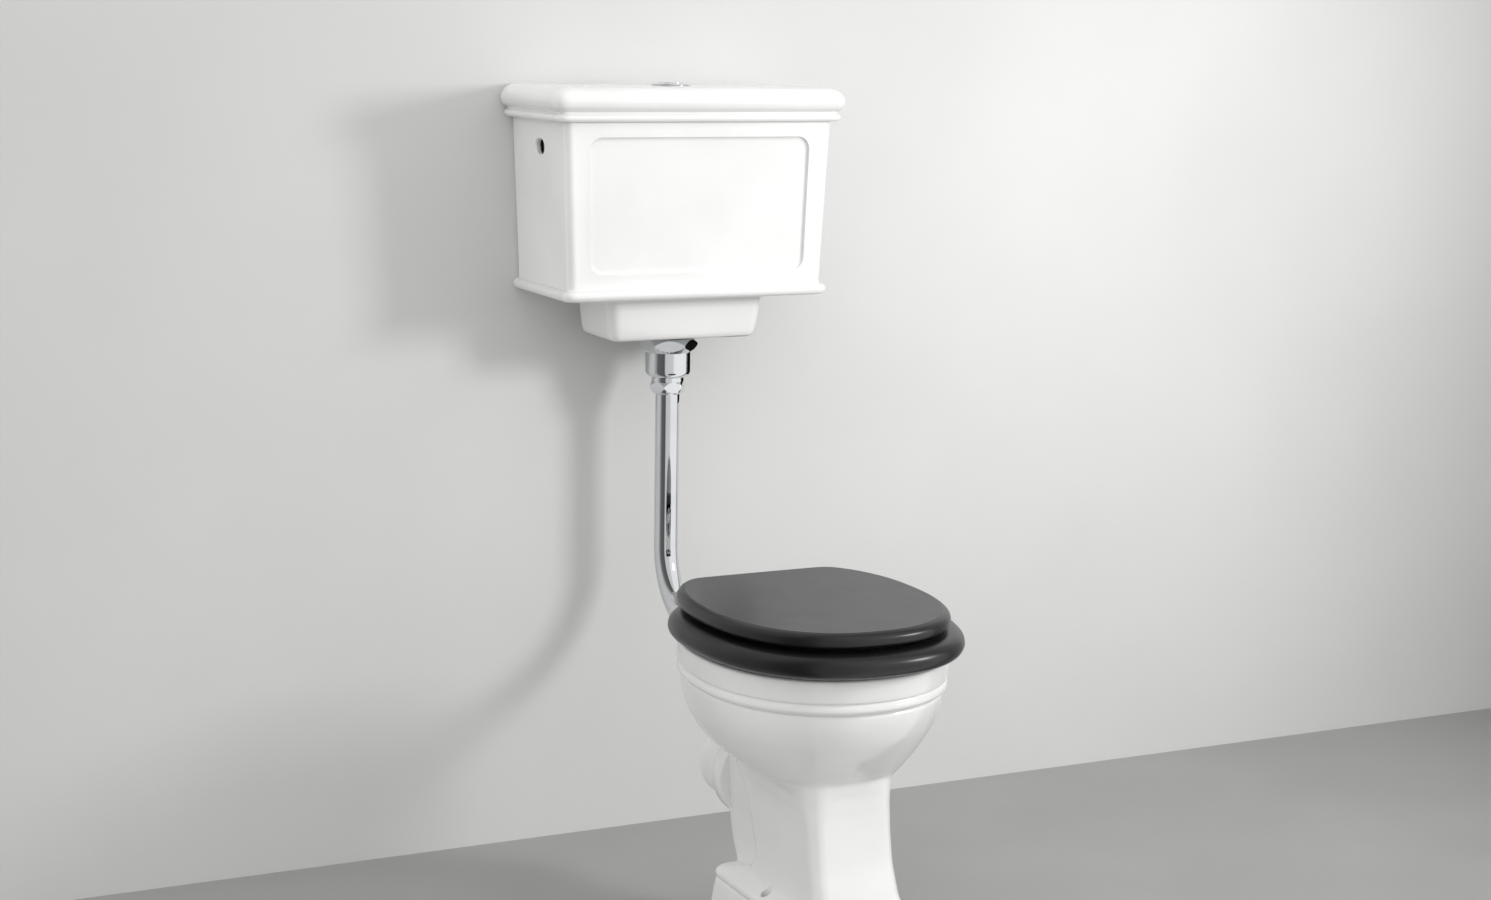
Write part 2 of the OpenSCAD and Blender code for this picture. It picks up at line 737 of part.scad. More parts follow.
// Strap outside the tower: the full lever lifts its hook and its foot lifts the collar.
module lift_yoke() {
  x0 = -lever_x - lever_arm;
  color("#3a6ea5") {
    translate([x0 - 6, axis_y - 6, 878])
      cube([3, 12, lever_z + 10 - 878]);
    translate([x0 - 6, axis_y - 6, lever_z + 4.5])
      cube([10, 12, 5.5]);
    difference() {
      translate([x0 - 6, axis_y - 6, 878])
        cube([35, 12, 6]);
      post(0, axis_y, 870, 890, 12.3);
    }
  }
}

// Float that sets the part flush, hung on the half lever outside the tower.
module half_float() {
  x0 = lever_x + lever_arm;
  color("#f0f0ea") {
    translate([x0 + 3, axis_y - 6, 860])
      cube([3, 12, lever_z + 10 - 860]);
    translate([x0 - 4, axis_y - 6, lever_z + 4.5])
      cube([10, 12, 5.5]);
    difference() {
      translate([x0 - 2, axis_y - 16, 825])
        cube([26, 32, 60]);
      translate([x0, axis_y - 14, 824])
        cube([22, 28, 59]);
    }
  }
}

module outlet_washer() {
  color("#303030")
    difference() {
      post(0, axis_y, nut_z[0], sump_z, 34);
      post(0, axis_y, nut_z[0] - 1, sump_z + 1, 24);
    }
}

// Large chamfered nut with the rounded cup below it.
module outlet_nut() {
  r = cup_w / 2;
  color(chrome)
    difference() {
      union() {
        hex_nut(big_nut_w, nut_z[1], nut_z[0], 41.2, [0.8, 0.83]);
        translate([0, axis_y, 0])
          rotate_extrude($fn = 64)
            polygon(concat([[0, nut_z[1] + 1], [r - 0.6, nut_z[1] + 1], [r, nut_z[1] - 2], [r, nut_z[2] + 9]],
              arc(r - 9, nut_z[2] + 9, 9, 0, -90, 6), [[small_nut_w / 2 - 3, nut_z[2]],
              [small_nut_w / 2 - 3, nut_z[3]], [0, nut_z[3]]]));
      }
      post(0, axis_y, nut_z[2] + 4, nut_z[0] + 1, 24);
      post(0, axis_y, nut_z[3] - 1, nut_z[2] + 5, pipe_r + 0.1);
    }
}

module pipe_seal() {
  color("#303030")
    difference() {
      post(0, axis_y, nut_z[3] - 6, nut_z[3] - 0.02, seal_r);
      post(0, axis_y, nut_z[3] - 7, nut_z[3] + 1, pipe_r + 0.02);
    }
}

module pipe_nut() {
  color(chrome)
    difference() {
      union() {
        hex_nut(small_nut_w, nut_z[4], nut_z[3] - 0.02, -3.5, [0.86, 0.86]);
        translate([0, axis_y, nut_z[4] - 2])
          cylinder(r1 = pipe_r + 2.5, r2 = small_nut_w / 2 - 4, h = 2.5);
      }
      post(0, axis_y, nut_z[4] - 3, nut_z[3] + 1, pipe_r + 0.1);
      post(0, axis_y, nut_z[3] - 6, nut_z[3] + 1, seal_r + 0.02);
    }
}

// Body of the float valve, from its threaded tail outside the cistern to the arm bracket inside.
module inlet_body() {
  x_in = body_hw - wall_t - 2;
  color("#d8c070")
    difference() {
      union() {
        bar_x(x_in - 4, body_hw + 8.2, inlet_y, side_hole_z, thread_r);
        bar_x(body_hw + 8, body_hw + 36, inlet_y, side_hole_z, inlet_r);
        bar_x(x_in - 10, x_in - 3, inlet_y, side_hole_z, 15);
        bar_x(arm_x + 8, x_in - 2, inlet_y, side_hole_z, 8);
        for (s = [-1, 1])
          translate([arm_x - 5, inlet_y + s * 6.5 - 1.5, side_hole_z - 8])
            cube([15, 3, 16]);
        post(x_in - 35, inlet_y, side_hole_z - 95, side_hole_z, 6);
      }
      bar_x(x_in - 26, body_hw + 37, inlet_y, side_hole_z, 3.5);
      bar_x(x_in - 30, x_in - 25, inlet_y, side_hole_z, 1.5);
      bar_x(arm_x + 7, x_in - 29, inlet_y, side_hole_z, 5);
      post(x_in - 35, inlet_y, side_hole_z - 96, side_hole_z, 4);
      bar_y(side_hole_d - 12, side_hole_d + 12, arm_x, arm_z, 1.6);
    }
}

module inlet_washer() {
  x_in = body_hw - wall_t - 2;
  color("#303030")
    difference() {
      bar_x(x_in - 2.98, x_in - 0.4, inlet_y, side_hole_z, 14);
      bar_x(x_in - 4, x_in + 1, inlet_y, side_hole_z, thread_r + 0.05);
    }
}

module inlet_nut() {
  color("#c9a94f")
    difference() {
      union() {
        translate([body_hw + 0.2, inlet_y, side_hole_z])
          rotate([0, 90, 0])
            cylinder(r = 16, h = 8, $fn = 6);
        bar_x(body_hw - 0.6, body_hw + 1.2, inlet_y, side_hole_z, 16.5);
      }
      bar_x(body_hw - 2, body_hw + 9, inlet_y, side_hole_z, thread_r + 0.05);
    }
}

// Sliding plug that the lobe on the arm pushes onto the water jet.
module inlet_piston() {
  x_in = body_hw - wall_t - 2;
  color("#303030") {
    bar_x(arm_x + 7.8, x_in - 40, inlet_y, side_hole_z, 4.94);
    bar_x(x_in - 41, x_in - 29.1, inlet_y, side_hole_z, 3);
  }
}

module inlet_arm() {
  color("#d8c070")
    difference() {
      union() {
        bar_y(side_hole_d - 4.5, side_hole_d + 4.5, arm_x, arm_z, 5);
        bar_y(side_hole_d - 3, side_hole_d + 3, arm_x + 6.1, arm_z, 1.5);
        translate([arm_x - 4, inlet_y - 4, arm_z - 20])
          cube([4, 8, 18]);
        translate([arm_x - 56, inlet_y - 3, arm_z - 20])
          cube([56, 6, 4]);
      }
      bar_y(side_hole_d - 8, side_hole_d + 8, arm_x, arm_z, 1.6);
    }
}

module inlet_float() {
  color("#e8e8e0")
    difference() {
      translate([arm_x - 62, inlet_y - 24, arm_z - 75])
        cube([44, 48, 55]);
      translate([arm_x - 60, inlet_y - 22, arm_z - 76])
        cube([40, 44, 52]);
    }
}

module arm_pin() {
  color("silver")
    bar_y(side_hole_d - 9, side_hole_d + 9, arm_x, arm_z, 1.55);
}

module hinge_rod() {
  color(chrome)
    bar_x(-hinge_x - 11, hinge_x + 11, hinge_y, hinge_z, rod_r);
}

module hinge_posts() {
  color(chrome)
    pair()
      difference() {
        union() {
          translate([hinge_x, hinge_y, rim_z + 0.02])
            rotate_extrude()
              polygon([[0, 0], [12, 0], [12, 2.5], [10.5, 4], [7, 6], [6, 10], [6, hinge_z - rim_z],
                [0, hinge_z - rim_z]]);
          bar_x(hinge_x - 8, hinge_x + 8, hinge_y, hinge_z, rod_r + 4);
        }
        bar_x(hinge_x - 12, hinge_x + 12, hinge_y, hinge_z, rod_r + 0.02);
      }
}

module hinge_studs() {
  color("silver")
    pair()
      post(hinge_x, hinge_y, rim_z - 68, rim_z, 4);
}

module stud_washers() {
  color("#d8d8d4")
    pair()
      difference() {
        post(hinge_x, hinge_y, rim_z - 28, rim_z - 25.02, 12);
        post(hinge_x, hinge_y, rim_z - 29, rim_z - 24, 4.05);
      }
}

module wing_nuts() {
  color("#d8d8d4")
    pair()
      difference() {
        union() {
          post(hinge_x, hinge_y, rim_z - 40, rim_z - 28.04, 7);
          translate([hinge_x - 1.5, hinge_y - 15, rim_z - 46])
            cube([3, 30, 12]);
        }
        post(hinge_x, hinge_y, rim_z - 50, rim_z - 27, 4.05);
      }
}

// Rolled ring of the seat, from its inner edge round the outside.
module seat_ring() {
  hole = [103, 446, 700];
  o = ring_over;
  outer = [
    [ring_z0, o - 13],
    [ring_z0 + 2, o - 7],
    [ring_z0 + 7, o - 2],
    [ring_z0 + 13, o],
    [ring_z0 + 19, o - 1.5],
    [ring_z0 + 24.5, o - 6],
    [ring_z0 + 28, o - 12.5],
    [ring_z1, o - 21]];
  inner = [
    [ring_z1, 12],
    [ring_z1 - 2.5, 5],
    [ring_z1 - 8, 1],
    [ring_z1 - 15, 0],
    [ring_z0 + 2, 1],
    [ring_z0, 3]];
  color(wood)
    difference() {
      loop_loft(concat([for (s = outer) [s[0], seat_plan(s[1], min(6, s[1] - 6), s[1] - 34)]],
        [for (s = inner) [s[0], oval(hole[0] + s[1], hole[1] - s[1], hole[2] + s[1])]]));
      pair()
        for (d = [404, 420])
          post(44, wall_y - d, ring_z0 - 1, ring_z0 + 14, 1.85);
    }
}

// Hinge leaves of the ring: a knuckle on the rod and a strap under the ring.
module ring_leaves() {
  z = ring_z0 - 3.02;
  y1 = hinge_y - rod_r - 3;
  color(chrome)
    pair()
      difference() {
        union() {
          bar_x(34, 54, hinge_y, hinge_z, rod_r + 3.5);
          translate([34, hinge_y - rod_r - 6.5, z])
            cube([20, 3.5, hinge_z - z]);
          translate([34, wall_y - 428, z])
            cube([20, y1 - wall_y + 428, 3]);
        }
        bar_x(33, 55, hinge_y, hinge_z, rod_r + run_gap);
        for (d = [404, 420])
          post(44, wall_y - d, z - 1, z + 4, 1.85);
      }
}

module wood_screws(x, ds, z_head, z_tip) {
  for (d = ds) {
    post(x, wall_y - d, z_head, z_tip, 1.8);
    post(x, wall_y - d, z_head, z_head + 1, 3.4);
  }
}

module ring_screws() {
  color("silver")
    pair()
      wood_screws(44, [404, 420], ring_z0 - 4.1, ring_z0 + 12);
}

// Four rubber feet between the ring and the rim.
module ring_buffers() {
  color("#303030")
    pair()
      for (p = [[118, 470], [104, 640]])
        post(p[0], wall_y - p[1], rim_z + 0.05, ring_z0 - 0.02, 8);
}

module seat_lid() {
  shape = [
    [lid_z0, 3],
    [lid_z0 + 1, 6.5],
    [lid_z0 + 4, 9.3],
    [lid_z0 + 8, 10],
    [lid_z0 + 12, 9],
    [lid_z0 + 15.5, 6.5],
    [lid_z0 + 18, 2.5],
    [seat_z, 0]];
  color(wood)
    difference() {
      loft([for (s = shape) [s[0], seat_plan(s[1], s[1], s[1])]]);
      pair()
        for (d = [404, 420])
          post(20, wall_y - d, lid_z0 - 1, lid_z0 + 10, 1.85);
    }
}

// Hinge leaves of the lid: a knuckle on the rod and a strap under the lid.
module lid_leaves() {
  z = lid_z0 - 2.02;
  color(chrome)
    pair()
      difference() {
        union() {
          bar_x(10, 30, hinge_y, hinge_z, rod_r + 3.5);
          translate([10, hinge_y - rod_r - 6, hinge_z + 3])
            cube([20, 6.5, z + 2 - hinge_z - 3]);
          translate([10, wall_y - 428, z])
            cube([20, hinge_y - rod_r - wall_y + 428, 2]);
        }
        bar_x(9, 31, hinge_y, hinge_z, rod_r + run_gap);
        for (d = [404, 420])
          post(20, wall_y - d, z - 1, z + 4, 1.85);
      }
}

module lid_screws() {
  color("silver")
    pair()
      wood_screws(20, [404, 420], lid_z0 - 3.05, lid_z0 + 9);
}

// Three rubber feet between the lid and the ring.
module lid_buffers() {
  color("#303030")
    for (p = [[-116, 590], [116, 590], [0, 716]])
      post(p[0], wall_y - p[1], ring_z1 + 0.25, lid_z0 - 0.02, 6);
}

pan();
flush_pipe();
flush_cone();
cistern_body();
valve_washer();
valve_body();
valve_cap();
outlet_washer();
outlet_nut();
pipe_seal();
pipe_nut();
valve_stem();
valve_seal();
lift_yoke();
lever_full();
lever_half();
half_float();
lever_pins();
cistern_lid();
button_bezel();
bezel_nut();
button_full();
button_half();
rod_full();
rod_half();
spring_full();
spring_half();
inlet_body();
inlet_washer();
inlet_nut();
inlet_piston();
inlet_arm();
inlet_float();
arm_pin();
hinge_rod();
hinge_posts();
hinge_studs();
stud_washers();
wing_nuts();
seat_ring();
ring_leaves();
ring_screws();
ring_buffers();
seat_lid();
lid_leaves();
lid_screws();
lid_buffers();
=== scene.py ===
import json
import math

import bpy
import numpy as np
from mathutils import Matrix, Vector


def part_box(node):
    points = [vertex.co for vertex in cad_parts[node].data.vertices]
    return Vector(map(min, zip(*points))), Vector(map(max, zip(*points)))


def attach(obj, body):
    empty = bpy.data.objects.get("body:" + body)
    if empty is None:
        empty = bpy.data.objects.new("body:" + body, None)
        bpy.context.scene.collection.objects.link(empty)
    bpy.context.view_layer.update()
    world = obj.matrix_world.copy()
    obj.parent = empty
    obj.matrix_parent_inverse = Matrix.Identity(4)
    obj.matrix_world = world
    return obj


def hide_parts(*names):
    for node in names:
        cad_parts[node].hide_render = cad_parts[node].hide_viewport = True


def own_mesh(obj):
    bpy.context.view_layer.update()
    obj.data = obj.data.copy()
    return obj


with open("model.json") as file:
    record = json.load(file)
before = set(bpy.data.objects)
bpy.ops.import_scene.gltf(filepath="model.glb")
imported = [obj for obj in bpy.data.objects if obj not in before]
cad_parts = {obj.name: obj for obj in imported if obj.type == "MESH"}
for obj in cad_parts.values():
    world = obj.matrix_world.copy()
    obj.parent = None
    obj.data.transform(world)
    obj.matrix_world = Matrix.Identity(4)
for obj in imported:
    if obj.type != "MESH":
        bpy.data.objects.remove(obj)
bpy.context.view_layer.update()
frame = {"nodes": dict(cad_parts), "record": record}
bpy.ops.object.select_all(action="DESELECT")
print("frame loaded:", len(frame["nodes"]), "nodes")

mm = 0.001  # every size below is in millimetres
scene = bpy.context.scene


# The lowest and highest place of a node of the frame, in millimetres
def low(node, axis):
    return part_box(node)[0][axis] / mm


def high(node, axis):
    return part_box(node)[1][axis] / mm


wallY = high("cistern_body", 1)  # the wall plane
rimZ = high("pan", 2)
axisY = (low("outlet_nut", 1) + high("outlet_nut", 1)) / 2
inletZ = (low("flush_cone", 2) + high("flush_cone", 2)) / 2
pipeR = high("flush_pipe", 0)
tankTop = high("cistern_body", 2)
tankHalf = high("cistern_body", 0)
lidTop = high("cistern_lid", 2)
lidHalf = high("cistern_lid", 0)
lidFront = wallY - low("cistern_lid", 1)
seatTop = high("seat_lid", 2)
seatUnder = low("seat_lid", 2)
ringUnder = low("seat_ring", 2)


def srgb(hexText):
    # Turns a web colour such as "F2F2EE" to linear values
    parts = [int(hexText[i:i + 2], 16) / 255 for i in (0, 2, 4)]
    return [c / 12.92 if c <= 0.04045 else ((c + 0.055) / 1.055) ** 2.4 for c in parts] + [1.0]


def addNode(tree, kind, inputs=None, **settings):
    node = tree.nodes.new(kind)
    for key, value in settings.items():
        setattr(node, key, value)
    for key, value in (inputs or {}).items():
        if isinstance(value, bpy.types.NodeSocket):
            tree.links.new(value, node.inputs[key])
        else:
            node.inputs[key].default_value = value
    return node


# What each finish is. Sizes and depths are in millimetres, "along" squeezes a pattern along x, y and z.
looks = {
    # Vitreous china, slip cast and fired under a clear glaze over white: a hard wet gloss on a body that is
    # faintly warmer where the glaze is thin, with the slow waviness that a poured glaze sets in
    "ceramic": {
        "name": "glazedVitreousChina",
        "plain": {"IOR": 1.52, "Coat Weight": 0.3, "Coat Roughness": 0.02, "Coat IOR": 1.5},
        "tint": {"size": 120, "pair": ("F0F0EE", "F5F5F4")},
        "gloss": {"size": 40, "pair": (0.11, 0.18)},
        "relief": [{"size": 26, "detail": 1, "depth": 0.20, "strength": 0.10},
                   {"size": 4.5, "detail": 1, "depth": 0.02, "strength": 0.10}],
    },
    # Drawn brass tube and turned brass fittings, polished and chromium plated: a mirror with a cold white tint,
    # broken only by wiping marks that run with the piece
    "chrome": {
        "name": "brightChromePlate",
        "plain": {"Metallic": 1.0},
        "tint": {"size": 60, "pair": ("DCDEE0", "E3E5E7")},
        "gloss": {"size": 16, "along": (1, 1, 0.25), "pair": (0.03, 0.075)},
        "relief": [{"size": 30, "detail": 1, "depth": 0.04, "strength": 0.12}],
    },
    # Moulded wood, filled, sanded and sprayed with black satin lacquer: no grain is left, only a broad soft
    # sheen with the faint orange peel of the spray
    "seat_wood": {
        "name": "blackSatinLacquer",
        "plain": {"IOR": 1.5},
        "tint": {"size": 70, "pair": ("131315", "19191B")},
        "gloss": {"size": 34, "pair": (0.285, 0.31)},
        "relief": [{"size": 3.2, "detail": 1, "depth": 0.02, "strength": 0.07}],
    },
    # Stainless steel rod and spring wire, cold drawn: grey, with fine lines along it
    "steel": {
        "name": "drawnStainlessSteel",
        "plain": {"Metallic": 1.0},
        "tint": {"size": 1.2, "along": (1, 1, 0.08), "pair": ("B9BABC", "C9CACC")},
        "gloss": {"size": 1.5, "along": (1, 1, 0.08), "pair": (0.24, 0.36)},
        "relief": [{"size": 0.8, "along": (1, 1, 0.05), "detail": 2, "depth": 0.01, "strength": 0.3}],
    },
    # Free-machining brass, turned and left bare: warm yellow, dulled and browner in patches
    "brass": {
        "name": "turnedBrass",
        "plain": {"Metallic": 1.0},
        "tint": {"size": 9, "pair": ("C2A052", "D8BC74")},
        "gloss": {"size": 5, "pair": (0.20, 0.40)},
        "relief": [{"size": 0.7, "along": (0.1, 1, 1), "detail": 2, "depth": 0.01, "strength": 0.3}],
    },
    # ABS, injection moulded in white: a fine spark-eroded texture and slightly uneven gloss
    "white_plastic": {
        "name": "mouldedWhiteAbs",
        "plain": {"IOR": 1.53},
        "tint": {"size": 30, "pair": ("DCDCD6", "E8E8E4")},
        "gloss": {"size": 6, "pair": (0.28, 0.40)},
        "relief": [{"size": 0.9, "detail": 2, "depth": 0.03, "strength": 0.2}],
    },
    # ABS, injection moulded in blue: flow lines show as slightly lighter streaks
    "blue_plastic": {
        "name": "mouldedBlueAbs",
        "plain": {"IOR": 1.53},
        "tint": {"size": 24, "along": (1, 1, 0.4), "pair": ("2A5286", "336299")},
        "gloss": {"size": 6, "pair": (0.30, 0.42)},
        "relief": [{"size": 0.9, "detail": 2, "depth": 0.03, "strength": 0.2}],
    },
    # Vulcanised black rubber: matt, with a light dusty bloom
    "black_rubber": {
        "name": "vulcanisedRubber",
        "plain": {"IOR": 1.5, "Specular IOR Level": 0.35},
        "tint": {"size": 7, "pair": ("1B1B1B", "272726")},
        "gloss": {"size": 4, "pair": (0.60, 0.78)},
        "relief": [{"size": 1.2, "detail": 3, "depth": 0.05, "strength": 0.3}],
    },
    # Silicone rubber, pressed in red: softer sheen than black rubber
    "red_rubber": {
        "name": "pressedSiliconeRubber",
        "plain": {"IOR": 1.43, "Specular IOR Level": 0.4},
        "tint": {"size": 9, "pair": ("7A2E26", "89382E")},
        "gloss": {"size": 5, "pair": (0.45, 0.60)},
        "relief": [{"size": 1.5, "detail": 2, "depth": 0.03, "strength": 0.2}],
    },
}

# Between which values of the noise a tint or a gloss goes from its first to its second value
tintSpread = (0.35, 0.65)
glossSpread = (0.3, 0.7)


def makeFinish(look):
    # Noise on Object coordinates drives the colour, the gloss and the relief, each at its own scale
    finish = bpy.data.materials.new(look["name"])
    finish.use_nodes = True
    tree = finish.node_tree
    shader = tree.nodes["Principled BSDF"]
    for key, value in look["plain"].items():
        shader.inputs[key].default_value = value
    place = addNode(tree, "ShaderNodeTexCoord").outputs["Object"]
    layers = [("tint", look["tint"]), ("gloss", look["gloss"])]
    layers += [("relief", layer) for layer in look.get("relief", [])]
    normal = None
    for job, layer in layers:
        spot = addNode(tree, "ShaderNodeMapping", {"Vector": place, "Scale": layer.get("along", (1, 1, 1))})
        noise = addNode(tree, "ShaderNodeTexNoise", {
            "Vector": spot.outputs["Vector"], "Scale": 1 / (layer["size"] * mm), "Detail": layer.get("detail", 3)})
        if job == "tint":
            ramp = addNode(tree, "ShaderNodeValToRGB", {"Fac": noise.outputs["Fac"]})
            for stop, position, colour in zip(ramp.color_ramp.elements, tintSpread, layer["pair"]):
                stop.position, stop.color = position, srgb(colour)
            tree.links.new(ramp.outputs["Color"], shader.inputs["Base Color"])
        elif job == "gloss":
            level = addNode(tree, "ShaderNodeMapRange", {
                "Value": noise.outputs["Fac"], "From Min": glossSpread[0], "From Max": glossSpread[1],
                "To Min": layer["pair"][0], "To Max": layer["pair"][1]})
            tree.links.new(level.outputs["Result"], shader.inputs["Roughness"])
        else:
            bump = addNode(tree, "ShaderNodeBump", {
                "Height": noise.outputs["Fac"], "Distance": layer["depth"] * mm, "Strength": layer["strength"]})
            if normal:
                tree.links.new(normal, bump.inputs["Normal"])
            normal = bump.outputs["Normal"]
            tree.links.new(normal, shader.inputs["Normal"])
    return finish


finishes = {slot: makeFinish(look) for slot, look in looks.items()}
slotOf = {part["node"]: part["material_slot"] for part in frame["record"]["subparts"]}
bodyOf = {node: body for body, members in frame["record"]["behaviour"]["bodies"].items() for node in members}
print("finishes made:", len(finishes))


def onlySelect(piece):
    bpy.ops.object.select_all(action="DESELECT")
    piece.select_set(True)
    bpy.context.view_layer.objects.active = piece


def smoothRows(rows, steps):
    # Rows between the given ones, on a curve through them that never overshoots
    table = np.array(rows, float)
    span = np.maximum(np.linalg.norm(np.diff(table[:, :2], axis=0), axis=1), 1e-6)
    slope = np.diff(table, axis=0) / span[:, None]
    inner = np.where(slope[1:] * slope[:-1] > 0,
                     2 * slope[1:] * slope[:-1] / (slope[1:] + slope[:-1] + 1e-12 * (slope[1:] >= 0)), 0.0)
    turn = np.vstack([slope[:1], inner, slope[-1:]])
    out = [table[0]]
    for i in range(len(table) - 1):
        for step in range(1, steps + 1):
            t = step / steps
            out.append((2 * t**3 - 3 * t**2 + 1) * table[i] + (t**3 - 2 * t**2 + t) * span[i] * turn[i]
                       + (3 * t**2 - 2 * t**3) * table[i + 1] + (t**3 - t**2) * span[i] * turn[i + 1])
    return out


def boxRing(z, half, back, front, frontR, backR, arcSteps=8):
    # Rounded box in plan, its back and front measured from the wall
    y0, y1 = wallY - front, wallY - back
    corners = [(-half + frontR, y0 + frontR, frontR, 180), (half - frontR, y0 + frontR, frontR, 270),
               (half - backR, y1 - backR, backR, 0), (-half + backR, y1 - backR, backR, 90)]
    return [(cx + r * math.cos(math.radians(start + 90 * k / arcSteps)),
             cy + r * math.sin(math.radians(start + 90 * k / arcSteps)), z)
            for cx, cy, r, start in corners for k in range(arcSteps + 1)]


def setPoints(piece, points):
    piece.data.vertices.foreach_set("co", (np.array(points, float) * mm).ravel())
    piece.data.update()


def outwards(piece):
    onlySelect(piece)
    bpy.ops.object.mode_set(mode="EDIT")
    bpy.ops.mesh.select_all(action="SELECT")
    bpy.ops.mesh.normals_make_consistent(inside=False)
    bpy.ops.object.mode_set(mode="OBJECT")


def loft(name, rings):
    # A disc is extruded once for each ring, then every ring goes to its place: closed, with a cap at each end
    count = len(rings[0])
    bpy.ops.mesh.primitive_circle_add(vertices=count, radius=1, fill_type="NGON")
    piece = bpy.context.object
    piece.name = piece.data.name = name
    bpy.ops.object.mode_set(mode="EDIT")
    bpy.ops.mesh.select_all(action="SELECT")
    for _ in rings[1:]:
        bpy.ops.mesh.extrude_region_move()
    bpy.ops.object.mode_set(mode="OBJECT")
    spots = np.array([v.co for v in piece.data.vertices])
    turn = np.round(np.arctan2(spots[:, 0], spots[:, 1]) / (2 * math.pi / count)).astype(int) % count
    points = np.zeros((len(spots), 3))
    for i, slot in enumerate(turn):
        points[i] = rings[i // count][count - 1 - slot]
    setPoints(piece, points)
    outwards(piece)
    return piece


def closedLoft(name, rings):
    # A torus gives the grid, and its sections go to the rings: closed both ways
    bpy.ops.mesh.primitive_torus_add(major_segments=len(rings), minor_segments=len(rings[0]))
    piece = bpy.context.object
    piece.name = piece.data.name = name
    setPoints(piece, [point for ring in rings for point in ring])
    outwards(piece)
    return piece


def turned(name, profile, spot, along, count=96):
    # One point is extruded along the profile of (distance, radius), and the line is spun round its axis
    along = np.array(along, float)
    side = np.cross(along, (0, 0, 1) if abs(along[2]) < 0.9 else (0, 1, 0))
    points = [(np.array(spot) + along * d + side * r) * mm for d, r in profile]
    bpy.ops.mesh.primitive_plane_add(size=0.01)
    piece = bpy.context.object
    piece.name = piece.data.name = name
    bpy.ops.object.mode_set(mode="EDIT")
    bpy.ops.mesh.select_all(action="SELECT")
    bpy.ops.mesh.merge(type="CENTER")
    bpy.ops.transform.translate(value=points[0])
    for here, there in zip(points, points[1:]):
        bpy.ops.mesh.extrude_vertices_move(TRANSFORM_OT_translate={"value": there - here})
    bpy.ops.mesh.select_all(action="SELECT")
    bpy.ops.mesh.spin(steps=count, angle=2 * math.pi, center=np.array(spot) * mm, axis=along)
    bpy.ops.mesh.select_all(action="SELECT")
    bpy.ops.mesh.remove_doubles(threshold=0.001 * mm)
    bpy.ops.mesh.normals_make_consistent(inside=False)
    bpy.ops.object.mode_set(mode="OBJECT")
    return piece


def solidTurned(name, profile, spot, along, count=96):
    # Closed at both ends on the axis
    return turned(name, [(profile[0][0], 0)] + list(profile) + [(profile[-1][0], 0)], spot, along, count)


def combine(piece, tool, operation):
    # The tool is cut from the piece or joined to it, and goes
    onlySelect(piece)
    change = piece.modifiers.new("combine", "BOOLEAN")
    change.operation = operation
    change.object = tool
    change.solver = "EXACT"
    bpy.ops.object.modifier_apply(modifier=change.name)
    bpy.data.objects.remove(tool, do_unlink=True)


def dress(piece, node, angle=35):
    # Smooth where faces meet at less than the angle; the piece stands for the node and rides with it
    onlySelect(piece)
    bpy.ops.object.shade_smooth_by_angle(angle=math.radians(angle))
    piece.data.materials.clear()
    piece.data.materials.append(finishes[slotOf[node]])
    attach(piece, bodyOf[node])
    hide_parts(node)


